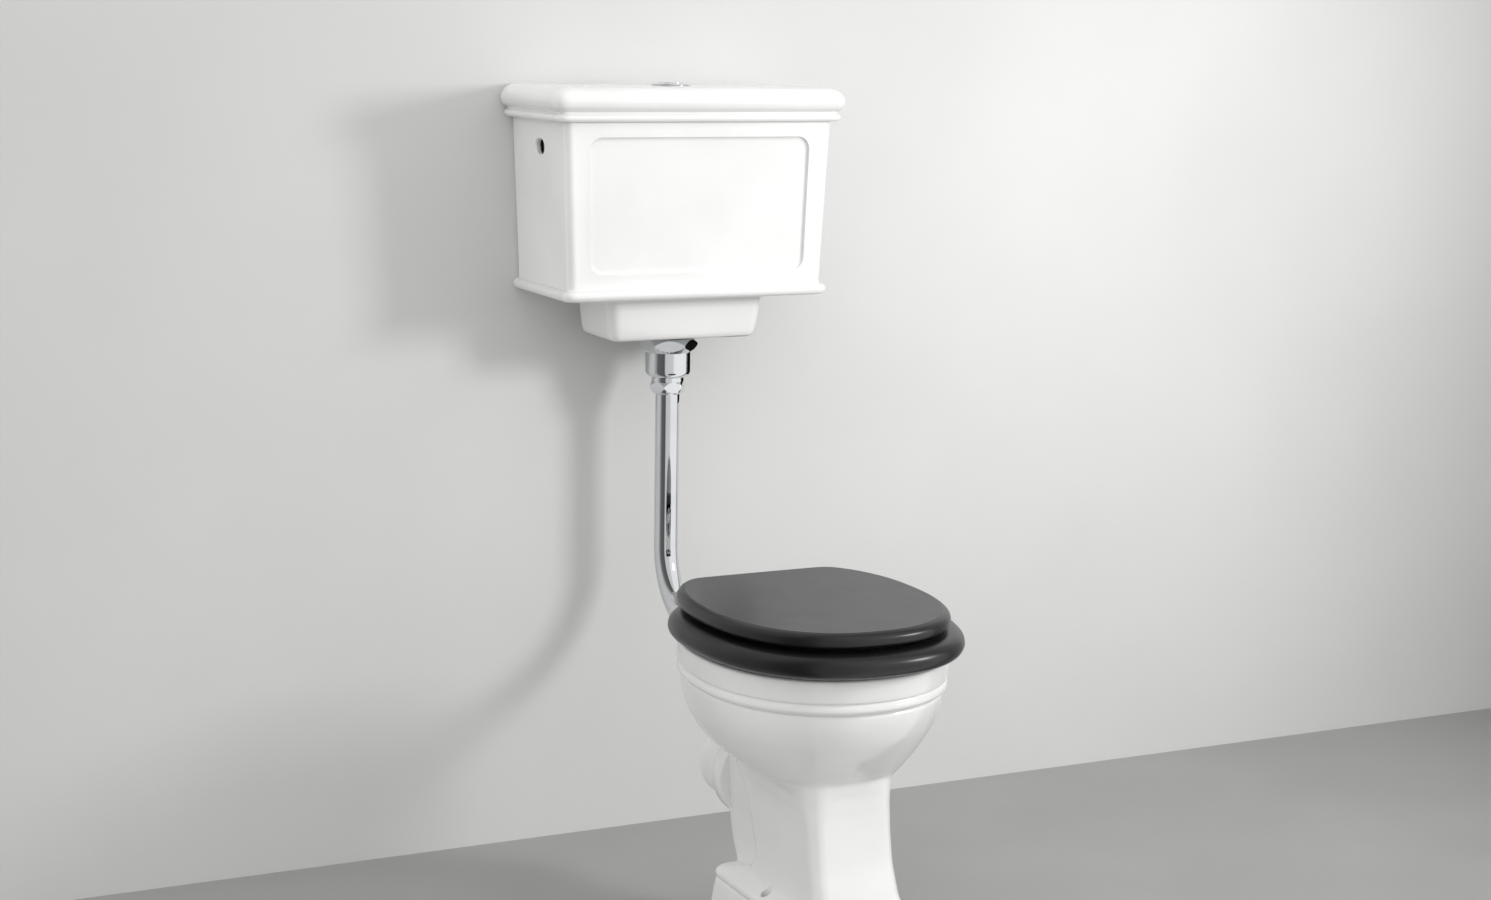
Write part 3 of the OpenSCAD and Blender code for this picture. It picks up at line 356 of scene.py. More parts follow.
pan = {
    "centre": 540,  # from the wall: every ring is drawn round this line
    "around": 288,
    "blend": 6,  # softness where bowl, column and web meet
    # Foot and column: height, half width, back, front, front and back corner radius
    "column": [[0, 92, 415, 726, 26, 26], [9, 92, 415, 726, 26, 26], [14, 89.5, 421, 723.5, 25, 25],
               [18, 88, 425, 722, 24, 24], [40, 86, 428, 720.5, 23, 23], [61.5, 84, 431, 719, 22, 22],
               [77.5, 81, 435, 717, 20, 20], [79.5, 79, 437, 715, 19, 19], [81.5, 80, 436, 716, 20, 20],
               [84, 81.6, 434.4, 717.6, 21, 21], [86.5, 82, 434, 718, 21, 21], [89, 81.4, 434.8, 717.4, 21, 21],
               [91.5, 79, 437, 716, 20, 20], [95.5, 73.4, 447, 712, 18, 16], [102.5, 63, 480, 703, 18, 12],
               [112.5, 59, 504, 695, 18, 8], [127.5, 57, 512, 690, 18, 6], [157.5, 56, 501, 679, 18, 6],
               [197, 56, 483, 671.5, 18, 6], [215, 57, 468, 669.5, 20, 8], [235, 59, 453, 667.5, 24, 12],
               [275, 60, 446, 666, 24, 12]],
    # Web over the rising leg of the trap: height, half width, back, exponent
    "web": [[66, 48, 460, 5], [83.5, 60, 437, 5], [94.5, 54, 426, 4], [106.5, 47.6, 403, 4],
            [125.5, 45.6, 389, 4], [156.5, 46.6, 381, 4], [180, 49.6, 374, 3.4], [195, 51.3, 370, 3],
            [221, 53.5, 367, 2.8], [247, 59, 364, 2.6], [278, 67, 361, 2.6], [305, 70, 361, 2.6],
            [322, 70, 368, 2.6], [340, 66, 380, 2.6]],
    # Bowl: depth under the rim, half width, back, widest line, front, exponent
    "bowl": [[212, 34, 486, 560, 632, 6], [196, 49, 466, 560, 655, 6], [179.6, 57, 452, 560, 666.5, 6],
             [167.2, 61, 440, 560, 666.5, 5.6], [157, 69, 420, 556, 668.5, 4], [147.6, 83, 400, 550, 670.5, 3],
             [137.3, 101, 386, 546, 677.5, 2.6], [123.8, 117, 374, 545, 688.5, 2.35],
             [103.2, 134, 364, 546, 703.5, 2.2], [80.4, 146, 356, 548, 716.5, 2.15],
             [57.7, 151, 352, 550, 723.5, 2.15], [48.6, 151.6, 351.4, 550.5, 724.5, 2.15],
             [45.4, 150.2, 352.6, 550.5, 723, 2.15], [43.4, 152.6, 351, 550.5, 725.4, 2.15],
             [40.7, 155.8, 349.2, 550.5, 729.2, 2.15], [37.4, 157.2, 348, 550.5, 730.8, 2.15],
             [34, 156.6, 348.4, 550.5, 730.2, 2.15], [31.4, 154.2, 350, 550.5, 727.4, 2.15],
             [29.8, 153.8, 350.4, 550.5, 726.8, 2.15], [28.4, 156, 349.4, 550.5, 729, 2.15],
             [26, 157.6, 348, 550.5, 730.6, 2.15], [6.6, 158.5, 347.1, 550.5, 731.4, 2.15],
             [3.2, 158.1, 347.4, 550.5, 731, 2.15], [1, 156.6, 348.8, 550.5, 729.6, 2.15],
             [0, 153.6, 351.6, 550.5, 726.6, 2.15]],
    # Over the rim and down inside: height, half width, back, front, exponent
    "rimTop": [[0, 153.6, 351.6, 726.6, 2.15], [0, 150, 356, 723, 2.15], [0, 118, 422, 702, 2.2]],
    "inside": [[0, 118, 422, 702, 2.2], [1.2, 114.4, 425.6, 698.4, 2.2], [3.6, 111.4, 428.6, 695.4, 2.2],
               [7, 110.2, 429.8, 694.2, 2.2], [20, 110, 430, 694, 2.2], [25, 111, 429, 695, 2.2],
               [27.4, 114, 426.4, 697, 2.2], [28.6, 119, 422, 699, 2.2], [30.4, 123, 418.4, 700, 2.2],
               [34, 124, 418, 699, 2.2], [57, 120, 421, 690, 2.2], [83, 111, 428, 680, 2.2],
               [115, 99, 440, 658, 2.2], [143, 78, 460, 636, 2.15], [165, 53, 478, 620, 2.1],
               [180, 42, 490, 608, 2.1], [205, 36, 500, 594, 2], [245, 31, 507, 577, 2], [271, 29, 511, 569, 2],
               [279, 20, 520, 560, 2]],
    # Turned pieces at the back: distance from the mouth and radius; "from" is the mouth's distance from the wall
    "horn": {"from": 330, "bore": 42,
             "profile": [(0, 46), (0, 49.6), (1.4, 51), (40, 51), (44, 51.6), (52, 56), (60, 60), (85, 60)]},
    "boss": {"from": 316, "profile": [(0, 29), (0, 31.4), (1.6, 33), (64, 33)],
             "bore": [(-5, 27), (0, 26), (2, 25), (34, 25), (34, 15), (122, 15)]},
    "trap": {"from": 470, "z": 130, "bore": [(0, 26), (75, 26)]},
    "floorHole": {"spot": (68, 0), "bore": 4, "head": 7.5, "deck": 61},
    "hingeHole": {"x": 70, "bore": 6.5, "well": 18, "from": 260, "deck": 285},
}
outletZ = 195
reachLimit = 420  # no ray of the pan goes further than this
halvings = 26


def eggReach(angles, centre, half, back, middle, front, power):
    # How far each ray from the centre goes to the egg's outline
    near, far = np.zeros_like(angles), np.full_like(angles, float(reachLimit))
    for _ in range(halvings):
        reach = (near + far) / 2
        x = np.abs(reach * np.sin(angles)) / half
        d = centre + reach * np.cos(angles) - middle
        inside = x**power + np.abs(d / np.where(d > 0, front - middle, middle - back))**power < 1
        near, far = np.where(inside, reach, near), np.where(inside, far, reach)
    return near


def boxReach(angles, centre, half, back, front, frontR, backR):
    near, far = np.zeros_like(angles), np.full_like(angles, float(reachLimit))
    for _ in range(halvings):
        reach = (near + far) / 2
        x = np.abs(reach * np.sin(angles))
        d = centre + reach * np.cos(angles)
        ahead = d > (back + front) / 2
        r = np.where(ahead, frontR, backR)
        dx = np.maximum(x - (half - r), 0)
        dd = np.maximum(np.where(ahead, d - (front - r), (back + r) - d), 0)
        inside = np.hypot(dx, dd) < r
        near, far = np.where(inside, reach, near), np.where(inside, far, reach)
    return near


def rowAt(rows, z):
    # The row of a smoothed table at one height, or nothing outside it
    if z < rows[0, 0] or z > rows[-1, 0]:
        return None
    return [np.interp(z, rows[:, 0], rows[:, k]) for k in range(1, rows.shape[1])]


def softest(a, b, k):
    return np.maximum(a, b) + np.maximum(k - np.abs(a - b), 0)**2 / (4 * k)


def makePan():
    centre = pan["centre"]
    column = np.array(smoothRows(pan["column"], 6))
    web = np.array(smoothRows(pan["web"], 6))
    bowl = np.array(smoothRows([[rimZ - row[0]] + row[1:] for row in pan["bowl"]], 6))

    def skinReach(angles, z):
        reach = np.zeros_like(angles)
        row = rowAt(column, z)
        if row:
            reach = boxReach(angles, centre, *row)
        row = rowAt(web, z)
        if row:
            half, back, power = row
            reach = softest(reach, eggReach(angles, centre, half, back, (back + 600) / 2, 600, power), pan["blend"])
        row = rowAt(bowl, z)
        if row:
            reach = softest(reach, eggReach(angles, centre, *row), pan["blend"])
        return reach

    # Rays are closer where the outline of the pedestal at mid height turns
    fine = np.linspace(-math.pi, math.pi, 2001)
    reach = skinReach(fine, 150)
    steps = np.hypot(np.diff(reach * np.sin(fine)), np.diff(reach * np.cos(fine)))
    length = np.concatenate([[0], np.cumsum(steps / steps.sum() + 0.8 * np.diff(fine) / (2 * math.pi))])
    angles = np.interp(np.arange(pan["around"]) / pan["around"] * length[-1], length, fine)

    def ring(reach, z):
        return [(r * math.sin(a), wallY - centre - r * math.cos(a), z) for r, a in zip(reach, angles)]

    heights = sorted({round(z, 2) for z in column[:, 0] if z < 230} | {round(z, 2) for z in bowl[:, 0] if z > 228})
    heights = [heights[0]] + [b for a, b in zip(heights, heights[1:]) if b - a > 0.12]
    rings = [ring(skinReach(angles, z), z) for z in heights]
    for drop, half, back, front, power in pan["rimTop"][1:] + smoothRows(pan["inside"], 4)[1:]:
        rings.append(ring(eggReach(angles, centre, half, back, (back + front) / 2, front, power), rimZ - drop))
    piece = loft("panShell", rings)
    # The outlet horn and the boss of the flush inlet come out at the back, then the bores are cut
    horn, boss, trap, forwards, upwards = pan["horn"], pan["boss"], pan["trap"], (0, -1, 0), (0, 0, 1)
    hornSpot, bossSpot = (0, wallY - horn["from"], outletZ), (0, wallY - boss["from"], inletZ)
    combine(piece, solidTurned("horn", horn["profile"], hornSpot, forwards), "UNION")
    combine(piece, solidTurned("boss", boss["profile"], bossSpot, forwards), "UNION")
    bore = horn["bore"]
    mouth = [(-5, bore + 2), (0, bore + 1.5), (2, bore), (66, bore), (72, bore - 12)]
    cuts = [solidTurned("cut", mouth, hornSpot, forwards), solidTurned("cut", boss["bore"], bossSpot, forwards),
            solidTurned("cut", trap["bore"], (0, wallY - trap["from"], trap["z"]), forwards, 48)]
    screw, hinge = pan["floorHole"], pan["hingeHole"]
    hingeY = (low("hinge_posts", 1) + high("hinge_posts", 1)) / 2
    screwBore = [(-1, screw["bore"]), (screw["deck"], screw["bore"]),
                 (screw["deck"], screw["head"]), (120, screw["head"])]
    deck = rimZ - hinge["deck"]
    hingeBore = [(0, hinge["well"]), (deck, hinge["well"]), (deck, hinge["bore"]), (deck + 30, hinge["bore"])]
    for side in (-1, 1):
        cuts.append(solidTurned("cut", screwBore, (side * screw["spot"][0], screw["spot"][1], 0), upwards, 40))
        cuts.append(solidTurned("cut", hingeBore, (side * hinge["x"], hingeY, hinge["from"]), upwards, 48))
    for tool in cuts:
        combine(piece, tool, "DIFFERENCE")
    dress(piece, "pan", 38)
    print("pan made:", len(piece.data.polygons), "faces")


makePan()

tank = {
    "wall": 7,
    # Sump, bead and neck: height, half width, back, front, front and back corner radius
    "sump": [[733.6, 99.5, 42, 145, 10, 10], [734.6, 103, 38.5, 148.5, 12, 12], [737, 106, 35.6, 151.4, 14, 14],
             [742.6, 108.5, 33, 154, 16, 16], [793.4, 115.5, 33, 161, 18, 18]],
    "bead": [[793.6, 183.6, 0, 192, 12, 3], [794.8, 188.6, 0, 197.6, 14, 3], [797.6, 191.8, 0, 201.2, 16, 3],
             [801.8, 192.8, 0, 202.5, 17, 3], [805.8, 191.6, 0, 201.2, 16, 3], [808.4, 188, 0, 197.4, 14, 3]],
    "neck": [[808.4, 188, 0, 197.4, 14, 3], [809.2, 185.6, 0, 194.2, 12.6, 3], [811, 184.7, 0, 193.1, 12, 3]],
    "bottom": (810.6, 184.6, 193),  # height, half width and front where the plain sides start
    "front": 200,
    "corner": 12,
    "panel": {"z": (834.8, 1003.2), "half": 153, "depth": 4, "cove": 6, "corner": 14, "lean": 3.2},
    "sideHole": {"d": 102, "z": 993, "r": 9.5, "long": 32},
    "screwHole": (125, 998, 5),
}


def makeTank():
    zero, halfLow, frontLow = tank["bottom"]
    wall, front, thick = tank["wall"], tank["front"], tank["wall"] + tank["panel"]["depth"]
    rings = [boxRing(*row) for row in smoothRows(tank["sump"], 4)]
    rings += [boxRing(*row) for row in smoothRows(tank["bead"], 4) + smoothRows(tank["neck"], 4)[1:]]
    # Over the edge at the top, down the walls inside, and into the sump
    inHalf, inFront = tankHalf - wall, front - thick
    inside = [[tankTop - 1.6, tankHalf, 0, front, 12, 3], [tankTop - 0.5, tankHalf - 0.5, 0.5, front - 0.5, 12, 3],
              [tankTop, tankHalf - 1.6, 1.6, front - 1.6, 11, 3],
              [tankTop, inHalf + 1.6, wall - 1.6, inFront + 1.6, 11, 7], [tankTop - 1.6, inHalf, wall, inFront, 10, 6],
              [zero - 4, halfLow - wall, wall, frontLow - thick, 10, 6],
              [zero - 9, halfLow - wall - 4.4, wall + 3, frontLow - thick - 4, 9, 6],
              [zero - 10, halfLow - wall - 9, wall + 7, frontLow - thick - 8, 8, 6],
              [zero - 10, 112, 37, 155, 12, 10], [zero - 11, 108, 41, 151, 11, 10], [zero - 16, 106, 42, 151, 11, 10],
              [751, 97.5, 43, 144, 12, 10], [745, 95, 45, 141, 11, 10], [742.6, 90.5, 49, 137, 8, 8]]
    rings += [boxRing(*row) for row in inside]
    piece = loft("cisternShell", rings)

    # Panel with a hollow moulding round it, let into the leaning front
    panel = tank["panel"]
    lean = (front - frontLow) / (tankTop - zero)

    def panelRing(grow, depth):
        z0, z1 = panel["z"][0] - grow, panel["z"][1] + grow
        top, r, steps = panel["half"] + grow, panel["corner"] + grow / 2, 10
        foot = top - panel["lean"]
        corners = [(-foot + r, z0 + r, 180), (foot - r, z0 + r, 270), (top - r, z1 - r, 0), (-top + r, z1 - r, 90)]
        ring = []
        for cx, cz, start in corners:
            for k in range(steps + 1):
                a = math.radians(start + 90 * k / steps)
                z = cz + r * math.sin(a)
                ring.append((cx + r * math.cos(a), wallY - frontLow - (z - zero) * lean + depth, z))
        return ring

    cove, deep = panel["cove"], panel["depth"]
    moulding = [(cove * math.cos(t), deep * math.sin(t)) for t in (math.radians(9 * k) for k in range(11))]
    combine(piece, loft("cut", [panelRing(cove + 0.2, -6)] + [panelRing(g, d) for g, d in moulding]), "DIFFERENCE")

    # Oval hole on the left, round hole for the supply on the right, screw holes in the back, valve hole below
    hole = tank["sideHole"]
    y, z, r = wallY - hole["d"], hole["z"], hole["r"]
    reach = hole["long"] / 2 - r
    ovals = []
    for x, grow in ((-tankHalf - 8, 2.5), (-tankHalf + 1.2, 1.3), (-tankHalf + 3, 0), (-tankHalf + 20, 0)):
        turns = [2 * math.pi * (k + 0.5) / 48 for k in range(48)]
        wide = r + grow
        ovals.append([(x, y + math.copysign(reach, math.cos(a)) + wide * math.cos(a), z + wide * math.sin(a))
                      for a in turns])
    screwX, screwZ, screwR = tank["screwHole"]
    cuts = [loft("cut", ovals),
            solidTurned("cut", [(0, 10.5), (16, 10.5), (19, 11.6), (30, 14)], (tankHalf - 20, y, z), (1, 0, 0), 48),
            solidTurned("cut", [(0, 24.5), (30, 24.5)], (0, axisY, 725), (0, 0, 1), 64)]
    cuts += [solidTurned("cut", [(0, screwR), (30, screwR)], (side * screwX, wallY + 5, screwZ), (0, -1, 0), 32)
             for side in (-1, 1)]
    for tool in cuts:
        combine(piece, tool, "DIFFERENCE")
    dress(piece, "cistern_body", 30)
    print("cistern made:", len(piece.data.polygons), "faces")


makeTank()

lid = {
    # Height over the body's top, how far inside the widest line, corner radius
    "bead": [[0.02, -9, 14], [1.6, -6.4, 16], [5, -5, 17], [8.4, -6.4, 16], [10, -9, 14]],
    "groove": [[10, -9, 14], [10.8, -9.7, 13.6], [12.6, -9.7, 13.6], [13.3, -9.2, 14]],
    "roll": [[13.3, -9.2, 14], [14.4, -6, 16], [16.4, -3.4, 18], [19.6, -1.4, 19], [25.6, 0, 20], [31.6, -1.2, 19],
             [36.4, -4.2, 17], [40, -8.4, 15], [42.4, -13, 12], [43.8, -18, 9], [44.6, -25, 6]],
    "hole": 22,
}


def makeLid():
    wall, thick = tank["wall"], tank["wall"] + tank["panel"]["depth"]

    def lidRing(row):
        z, shift, r = row
        return boxRing(tankTop + z, lidHalf + shift, 2 - min(0, shift + 9) * 0.5, lidFront + shift, r, 4)

    scale = (lidTop - tankTop) / lid["roll"][-1][0]
    roll = [[z * scale if z > 14 else z, shift, r] for z, shift, r in lid["roll"]]
    inHalf, inFront = tankHalf - wall - 3, tank["front"] - thick - 3
    under = [[tankTop + 42.4 - 13, lidHalf - 21, 16, lidFront - 21, 8, 5],
             [tankTop + 42.4 - 14, lidHalf - 14, 12, lidFront - 14, 11, 5],
             [tankTop + 25.6, lidHalf - 10, 11, lidFront - 10, 14, 5],
             [tankTop + 12, lidHalf - 19, 12, lidFront - 19, 10, 5],
             [tankTop + 8, inHalf - 9, 19, inFront - 9, 6, 5], [tankTop - 4, inHalf - 9, 19, inFront - 9, 6, 5],
             [tankTop - 5, inHalf - 8, 18, inFront - 8, 6, 5], [tankTop - 5, inHalf - 1, 11, inFront - 1, 8, 5],
             [tankTop - 4, inHalf, 10, inFront, 8, 5], [tankTop + 0.02, inHalf, 10, inFront, 8, 5]]
    over = smoothRows(lid["bead"], 4) + smoothRows(lid["groove"], 3)[1:] + smoothRows(roll, 4)[1:]
    piece = loft("cisternLidShell", [boxRing(*row) for row in under] + [lidRing(row) for row in over])
    hole = solidTurned("cut", [(0, lid["hole"]), (60, lid["hole"])], (0, axisY, tankTop), (0, 0, 1), 64)
    combine(piece, hole, "DIFFERENCE")
    dress(piece, "cistern_lid", 32)
    print("cistern lid made:", len(piece.data.polygons), "faces")


makeLid()

seat = {
    "half": 144.2, "middle": 544.4, "long": 182.2, "back": 396.6, "power": 2.3,
    "around": 144,
    # Over the underside, and how far outside the flat top
    "lidEdge": [[0, 2], [0.3, 4], [1.4, 6.8], [4, 9.2], [8, 10], [12, 9.2], [15, 7], [17, 4.4], [18.2, 1.8],
                [18.6, 0.4]],
    "lidTall": 19,
    # How far the ring stands outside the lid's top, and its edge: over the underside, and how far further in
    "over": 27.4,
    "ringEdge": [[0, 16], [0.4, 12.5], [2.2, 7], [6.4, 2.2], [12.6, 0], [18.6, 1.2], [23.6, 4.9], [27.4, 11],
                 [29.2, 17.4], [29.5, 22]],
    "hole": (103, 446, 700),  # half width, back and front from the wall
    "innerEdge": [[29.5, 13], [28.6, 8.4], [26.4, 4.4], [22, 1.4], [14.5, 0], [6, 0.2], [2, 1], [0.4, 2.6], [0, 5]],
    "screwHoles": ((20, 44), (404, 420)),
}


def seatRing(grow, growBack, growLong, z):
    ring = []
    for k in range(seat["around"]):
        a = 2 * math.pi * k / seat["around"]
        c, s = math.cos(a), math.sin(a)
        longer = growLong if s > 0 else grow
        x = (seat["half"] + grow) * math.copysign(abs(c)**(2 / seat["power"]), c)
        y = wallY - seat["middle"] + (seat["long"] + longer) * math.copysign(abs(s)**(2 / seat["power"]), s)
        straight = wallY - seat["back"] + growBack
        past = straight - y
        ring.append((x, straight - (past + math.sqrt(past * past + 60)) / 2, z))
    return ring


def ovalRing(half, back, front, z):
    middle, long = (back + front) / 2, (front - back) / 2
    ring = []
    for k in range(seat["around"]):
        a = 2 * math.pi * k / seat["around"]
        c, s = math.cos(a), math.sin(a)
        ring.append((half * math.copysign(abs(c)**(2 / 2.15), c),
                     wallY - middle + long * math.copysign(abs(s)**(2 / 2.15), s), z))
    return ring


def makeSeat():
    edge = smoothRows([[z, g] for z, g in seat["lidEdge"]], 4)
    scale = (seatTop - seatUnder) / seat["lidTall"]
    rings = [seatRing(g, g, g, seatUnder + z * scale) for z, g in edge] + [seatRing(0, 0, 0, seatTop)]
    top = loft("seatLid", rings)
    over = seat["over"]
    rings = []
    for z, inward in smoothRows(seat["ringEdge"], 4):
        g = over - inward
        rings.append(seatRing(g, min(6, g - 6), g - 34, ringUnder + z))
    half, back, front = seat["hole"]
    for z, g in smoothRows(seat["innerEdge"], 4):
        rings.append(ovalRing(half + g, back - g, front + g, ringUnder + z))
    ring = closedLoft("seatRing", rings)
    for piece, x, z in ((top, seat["screwHoles"][0][0], seatUnder), (ring, seat["screwHoles"][0][1], ringUnder)):
        for side in (-1, 1):
            for d in seat["screwHoles"][1]:
                tool = solidTurned("cut", [(-1, 1.85), (11, 1.85)], (side * x, wallY - d, z), (0, 0, 1), 20)
                combine(piece, tool, "DIFFERENCE")
    dress(top, "seat_lid", 16)
    dress(ring, "seat_ring", 30)
    print("seat and lid made:", len(top.data.polygons) + len(ring.data.polygons), "faces")


makeSeat()

pipe = {"wall": 1.2, "bend": 95, "around": 72, "turns": 28}


def makePipe():
    # A ring goes straight down, is spun round the bend and goes straight back into the pan
    bend, top, end = pipe["bend"], high("flush_pipe", 2), low("flush_pipe", 1)
    bpy.ops.mesh.primitive_circle_add(vertices=pipe["around"], radius=pipeR * mm, location=(0, axisY * mm, top * mm))
    bpy.ops.object.transform_apply(location=True, rotation=False, scale=False)
    piece = bpy.context.object
    piece.name = piece.data.name = "flushPipe"
    bpy.ops.object.mode_set(mode="EDIT")
    bpy.ops.mesh.select_all(action="SELECT")
    bpy.ops.mesh.extrude_region_move(TRANSFORM_OT_translate={"value": (0, 0, (inletZ + bend - top) * mm)})
    middle = (0, (axisY - bend) * mm, (inletZ + bend) * mm)
    bpy.ops.mesh.spin(steps=pipe["turns"], angle=math.radians(90), center=middle, axis=(1, 0, 0))
    bpy.ops.mesh.extrude_region_move(TRANSFORM_OT_translate={"value": (0, (end - axisY + bend) * mm, 0)})
    bpy.ops.mesh.select_all(action="SELECT")
    bpy.ops.mesh.remove_doubles(threshold=0.001 * mm)
    bpy.ops.mesh.normals_make_consistent(inside=False)
    bpy.ops.object.mode_set(mode="OBJECT")
    tube = piece.modifiers.new("wall", "SOLIDIFY")
    tube.thickness, tube.offset, tube.use_even_offset = pipe["wall"] * mm, -1, True
    bpy.ops.object.modifier_apply(modifier=tube.name)
    dress(piece, "flush_pipe", 40)
    print("flush pipe made")


makePipe()

# Fittings that keep their form from the frame, and how much their edges are rounded over
edges = {
    "outlet_nut": 0.5, "pipe_nut": 0.5, "button_bezel": 0.3, "button_full": 0.7, "button_half": 0.7, "hinge_posts": 0.4,
    "hinge_rod": 0.6, "ring_leaves": 0.5, "lid_leaves": 0.4, "wing_nuts": 0.6, "inlet_nut": 0.5, "bezel_nut": 0.6,
    "valve_body": 0.5, "valve_cap": 0.5, "lift_yoke": 0.4, "half_float": 1.2, "inlet_float": 1.6, "inlet_arm": 0.5,
    "lever_full": 0.4, "lever_half": 0.4, "ring_buffers": 0.8, "lid_buffers": 0.6,
}
# The supply tail's thread starts this far from the cistern's side
thread = {"pitch": 1.8, "depth": 0.9, "from": 11.6, "clear": 0.4, "radius": 10.3, "past": 13}
springs = {"spring_full": "full_button", "spring_half": "half_button"}  # and the button that presses each


def copyOf(node):
    # The frame's mesh is loose triangles, so its copy is merged and its flat faces are made whole
    piece = bpy.data.objects.new(node + "Finished", frame["nodes"][node].data.copy())
    scene.collection.objects.link(piece)
    onlySelect(piece)
    bpy.ops.object.mode_set(mode="EDIT")
    bpy.ops.mesh.select_all(action="SELECT")
    bpy.ops.mesh.remove_doubles(threshold=0.002 * mm)
    bpy.ops.mesh.dissolve_limited(angle_limit=math.radians(0.4))
    bpy.ops.object.mode_set(mode="OBJECT")
    return piece


def roundOver(piece, edge):
    onlySelect(piece)
    soft = piece.modifiers.new("edges", "BEVEL")
    soft.width, soft.segments, soft.limit_method, soft.angle_limit = edge * mm, 2, "ANGLE", math.radians(32)
    bpy.ops.object.modifier_apply(modifier=soft.name)


def makeFittings():
    for node, edge in edges.items():
        piece = copyOf(node)
        roundOver(piece, edge)
        dress(piece, node, 38)
        even = piece.modifiers.new("even", "WEIGHTED_NORMAL")
        even.keep_sharp = True
        bpy.ops.object.modifier_apply(modifier=even.name)
    # The supply tail is cut with its thread, one groove beside another
    tail, half, crest = copyOf("inlet_body"), thread["pitch"] / 2, thread["radius"]
    root, past = crest - thread["depth"] - 0.3, thread["past"]
    start, end = tankHalf + thread["from"], high("inlet_body", 0) - thread["clear"]
    comb = [(start, past), (start, crest)]
    while comb[-1][0] < end - 2 * half:
        comb += [(comb[-1][0] + half, root), (comb[-1][0] + 2 * half, crest)]
    comb += [(comb[-1][0], past), comb[0]]
    spot = (0, wallY - tank["sideHole"]["d"], tank["sideHole"]["z"])
    combine(tail, turned("cut", comb, spot, (1, 0, 0), 48), "DIFFERENCE")
    dress(tail, "inlet_body", 30)
    # Each spring is a merged copy with a mesh of its own, finished like the fittings
    for node, joint in springs.items():
        coil, foot = copyOf(node), low(node, 2)
        dress(coil, node, 50)
        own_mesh(coil)
    for name, node in frame["nodes"].items():
        if not node.hide_render:
            node.data.materials.clear()
            node.data.materials.append(finishes[slotOf[name]])
    print("fittings finished:", len(edges) + 1)


makeFittings()

# Room and light. The lamps are in metres; "sees" is what mirrors see of the studio, by the compass from the wall
# over the right, in degrees and brightness.
room = {"wall": ("D4D4D3", "D8D8D7"), "floor": ("A3A3A2", "A9A9A8"), "wide": 9, "patch": 400}
lamps = {
    "keyLamp": {"spot": (1.40, -1.02, 1.27), "aim": (0.45, 0.57, 0.85), "size": 0.4, "spread": 110, "power": 8.3},
}
# Black boards that no camera sees: one shades the right end of the wall, one gives the chrome its dark edge.
# Middle, length out from the wall and height in metres, and whether it shades or is only mirrored
boards = {
    "sideBoard": {"spot": (1.70, 0.02, 1.1), "long": 1.1, "high": 2.2, "shades": True},
    "chromeBoard": {"spot": (0.13, 0.514, 0.685), "long": 0.112, "high": 0.13, "shades": False},
}
studio = {
    "sky": 1.1,
    "sees": [(0, 0.5), (75, 0.3), (88, 0.06), (94, 0.4), (100, 1.0), (168, 1.0), (178, 0.7), (214, 0.66), (220, 0.1),
             (255, 0.14), (266, 0.42), (360, 0.5)],
}


def stageFinish(name, pair, seeThrough):
    finish = makeFinish({"name": name, "plain": {"IOR": 1.4}, "tint": {"size": room["patch"], "pair": pair},
                         "gloss": {"size": 300, "pair": (0.75, 0.85)}})
    if seeThrough:  # the wall is not there for a camera that looks from behind it
        tree = finish.node_tree
        shader = tree.nodes["Principled BSDF"]
        path = addNode(tree, "ShaderNodeLightPath").outputs["Is Camera Ray"]
        behind = addNode(tree, "ShaderNodeNewGeometry").outputs["Backfacing"]
        both = addNode(tree, "ShaderNodeMath", {0: path, 1: behind}, operation="MULTIPLY").outputs["Value"]
        clear = addNode(tree, "ShaderNodeBsdfTransparent").outputs["BSDF"]
        mix = addNode(tree, "ShaderNodeMixShader", {0: both, 1: shader.outputs["BSDF"], 2: clear})
        tree.links.new(mix.outputs["Shader"], tree.nodes["Material Output"].inputs["Surface"])
    return finish


def makeRoom():
    bpy.ops.mesh.primitive_plane_add(size=room["wide"], location=(0, wallY * mm + 0.001 - room["wide"] / 2, -0.0005))
    floor = bpy.context.object
    floor.name = "floor"
    floor.data.materials.append(stageFinish("plainFloor", room["floor"], False))
    bpy.ops.mesh.primitive_plane_add(size=room["wide"], location=(0, wallY * mm + 0.001, room["wide"] / 2 - 0.0005),
                                     rotation=(math.radians(90), 0, 0))
    wall = bpy.context.object
    wall.name = "wall"
    wall.data.materials.append(stageFinish("plainWall", room["wall"], True))
    floor.visible_glossy = False  # mirrors see the studio's screens below the horizon too
    dark = makeFinish({"name": "blackBoard", "plain": {"IOR": 1.4}, "tint": {"size": 90, "pair": ("0A0A0A", "101010")},
                       "gloss": {"size": 60, "pair": (0.8, 0.9)}})
    for name, settings in boards.items():
        bpy.ops.mesh.primitive_plane_add(size=1, location=settings["spot"], rotation=(0, math.radians(90), 0))
        board = bpy.context.object
        board.name = name
        board.scale = (settings["high"], settings["long"], 1)
        board.data.materials.append(dark)
        board.visible_camera = board.visible_transmission = False
        board.visible_diffuse = board.visible_shadow = settings["shades"]
        board.visible_glossy = not settings["shades"]


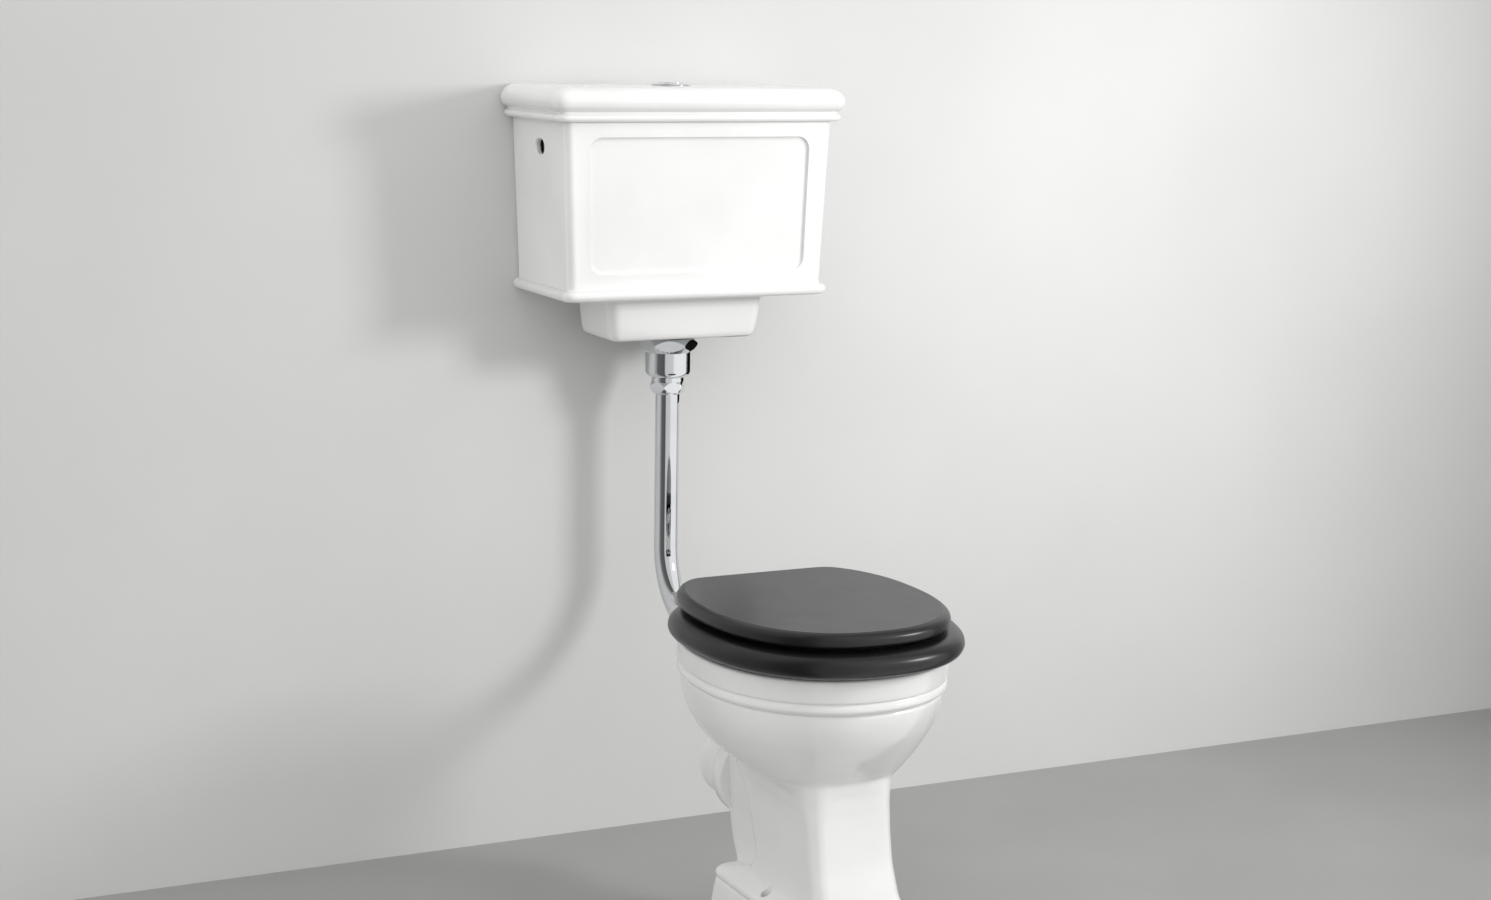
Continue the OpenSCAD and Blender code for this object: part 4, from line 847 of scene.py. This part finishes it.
def makeLight():
    for name, settings in lamps.items():
        bpy.ops.object.light_add(type="AREA", location=settings["spot"])
        lamp = bpy.context.object
        lamp.name = name
        lamp.data.shape = "SQUARE"
        lamp.data.size = settings["size"]
        lamp.data.spread = math.radians(settings["spread"])
        lamp.data.energy = settings["power"]
        aim = np.array(settings["aim"]) - np.array(settings["spot"])
        lamp.rotation_euler = (math.atan2(math.hypot(aim[0], aim[1]), -aim[2]), 0, math.atan2(-aim[0], aim[1]))
    world = bpy.data.worlds.new("softStudio")
    scene.world = world
    world.use_nodes = True
    tree = world.node_tree
    # Even light all round, but mirrors see the white screens and the dark gaps between them
    way = addNode(tree, "ShaderNodeSeparateXYZ", {"Vector": addNode(tree, "ShaderNodeTexCoord").outputs["Generated"]})
    turn = addNode(tree, "ShaderNodeMath", {0: way.outputs["X"], 1: way.outputs["Y"]}, operation="ARCTAN2")
    share = addNode(tree, "ShaderNodeMath", {0: turn.outputs["Value"], 1: 2 * math.pi}, operation="DIVIDE")
    compass = addNode(tree, "ShaderNodeMath", {0: share.outputs["Value"], 1: 1.0}, operation="FLOORED_MODULO")
    screens = addNode(tree, "ShaderNodeValToRGB", {"Fac": compass.outputs["Value"]})
    stops = screens.color_ramp.elements
    for degrees, level in studio["sees"]:
        stop = stops[0] if degrees == 0 else stops[-1] if degrees == 360 else stops.new(degrees / 360)
        stop.color = (level, level, level, 1)
    even = tree.nodes["Background"]
    mirrored = addNode(tree, "ShaderNodeBackground", {"Color": screens.outputs["Color"]})
    even.inputs["Color"].default_value = (1, 1, 1, 1)
    even.inputs["Strength"].default_value = studio["sky"]
    glossy = addNode(tree, "ShaderNodeLightPath").outputs["Is Glossy Ray"]
    both = addNode(tree, "ShaderNodeMixShader", {0: glossy, 1: even.outputs[0], 2: mirrored.outputs[0]})
    tree.links.new(both.outputs["Shader"], tree.nodes["World Output"].inputs["Surface"])


camera = {"spot": (-1341.4, -2586.8, 1162.2), "turn": 0.4452, "down": 0.1743, "roll": 0.0165, "lens": 58.93}


def makeCamera():
    # The photograph's viewpoint: turn, dip and roll in radians
    turn, down, roll = camera["turn"], camera["down"], camera["roll"]
    ahead = np.array((math.sin(turn) * math.cos(down), math.cos(turn) * math.cos(down), -math.sin(down)))
    right = np.array((math.cos(turn), -math.sin(turn), 0))
    up = np.cross(right, ahead)
    across = math.cos(roll) * right + math.sin(roll) * up
    upright = math.cos(roll) * up - math.sin(roll) * right
    bpy.ops.object.camera_add()
    eye = bpy.context.object
    eye.data.lens = camera["lens"]
    eye.data.sensor_width = 36
    rows = [[across[k], upright[k], -ahead[k], camera["spot"][k] * mm] for k in range(3)]
    eye.matrix_world = Matrix(rows + [[0, 0, 0, 1]])
    scene.camera = eye


makeRoom()
makeLight()
makeCamera()
scene.view_settings.view_transform = "Standard"
print("room, light and camera ready")
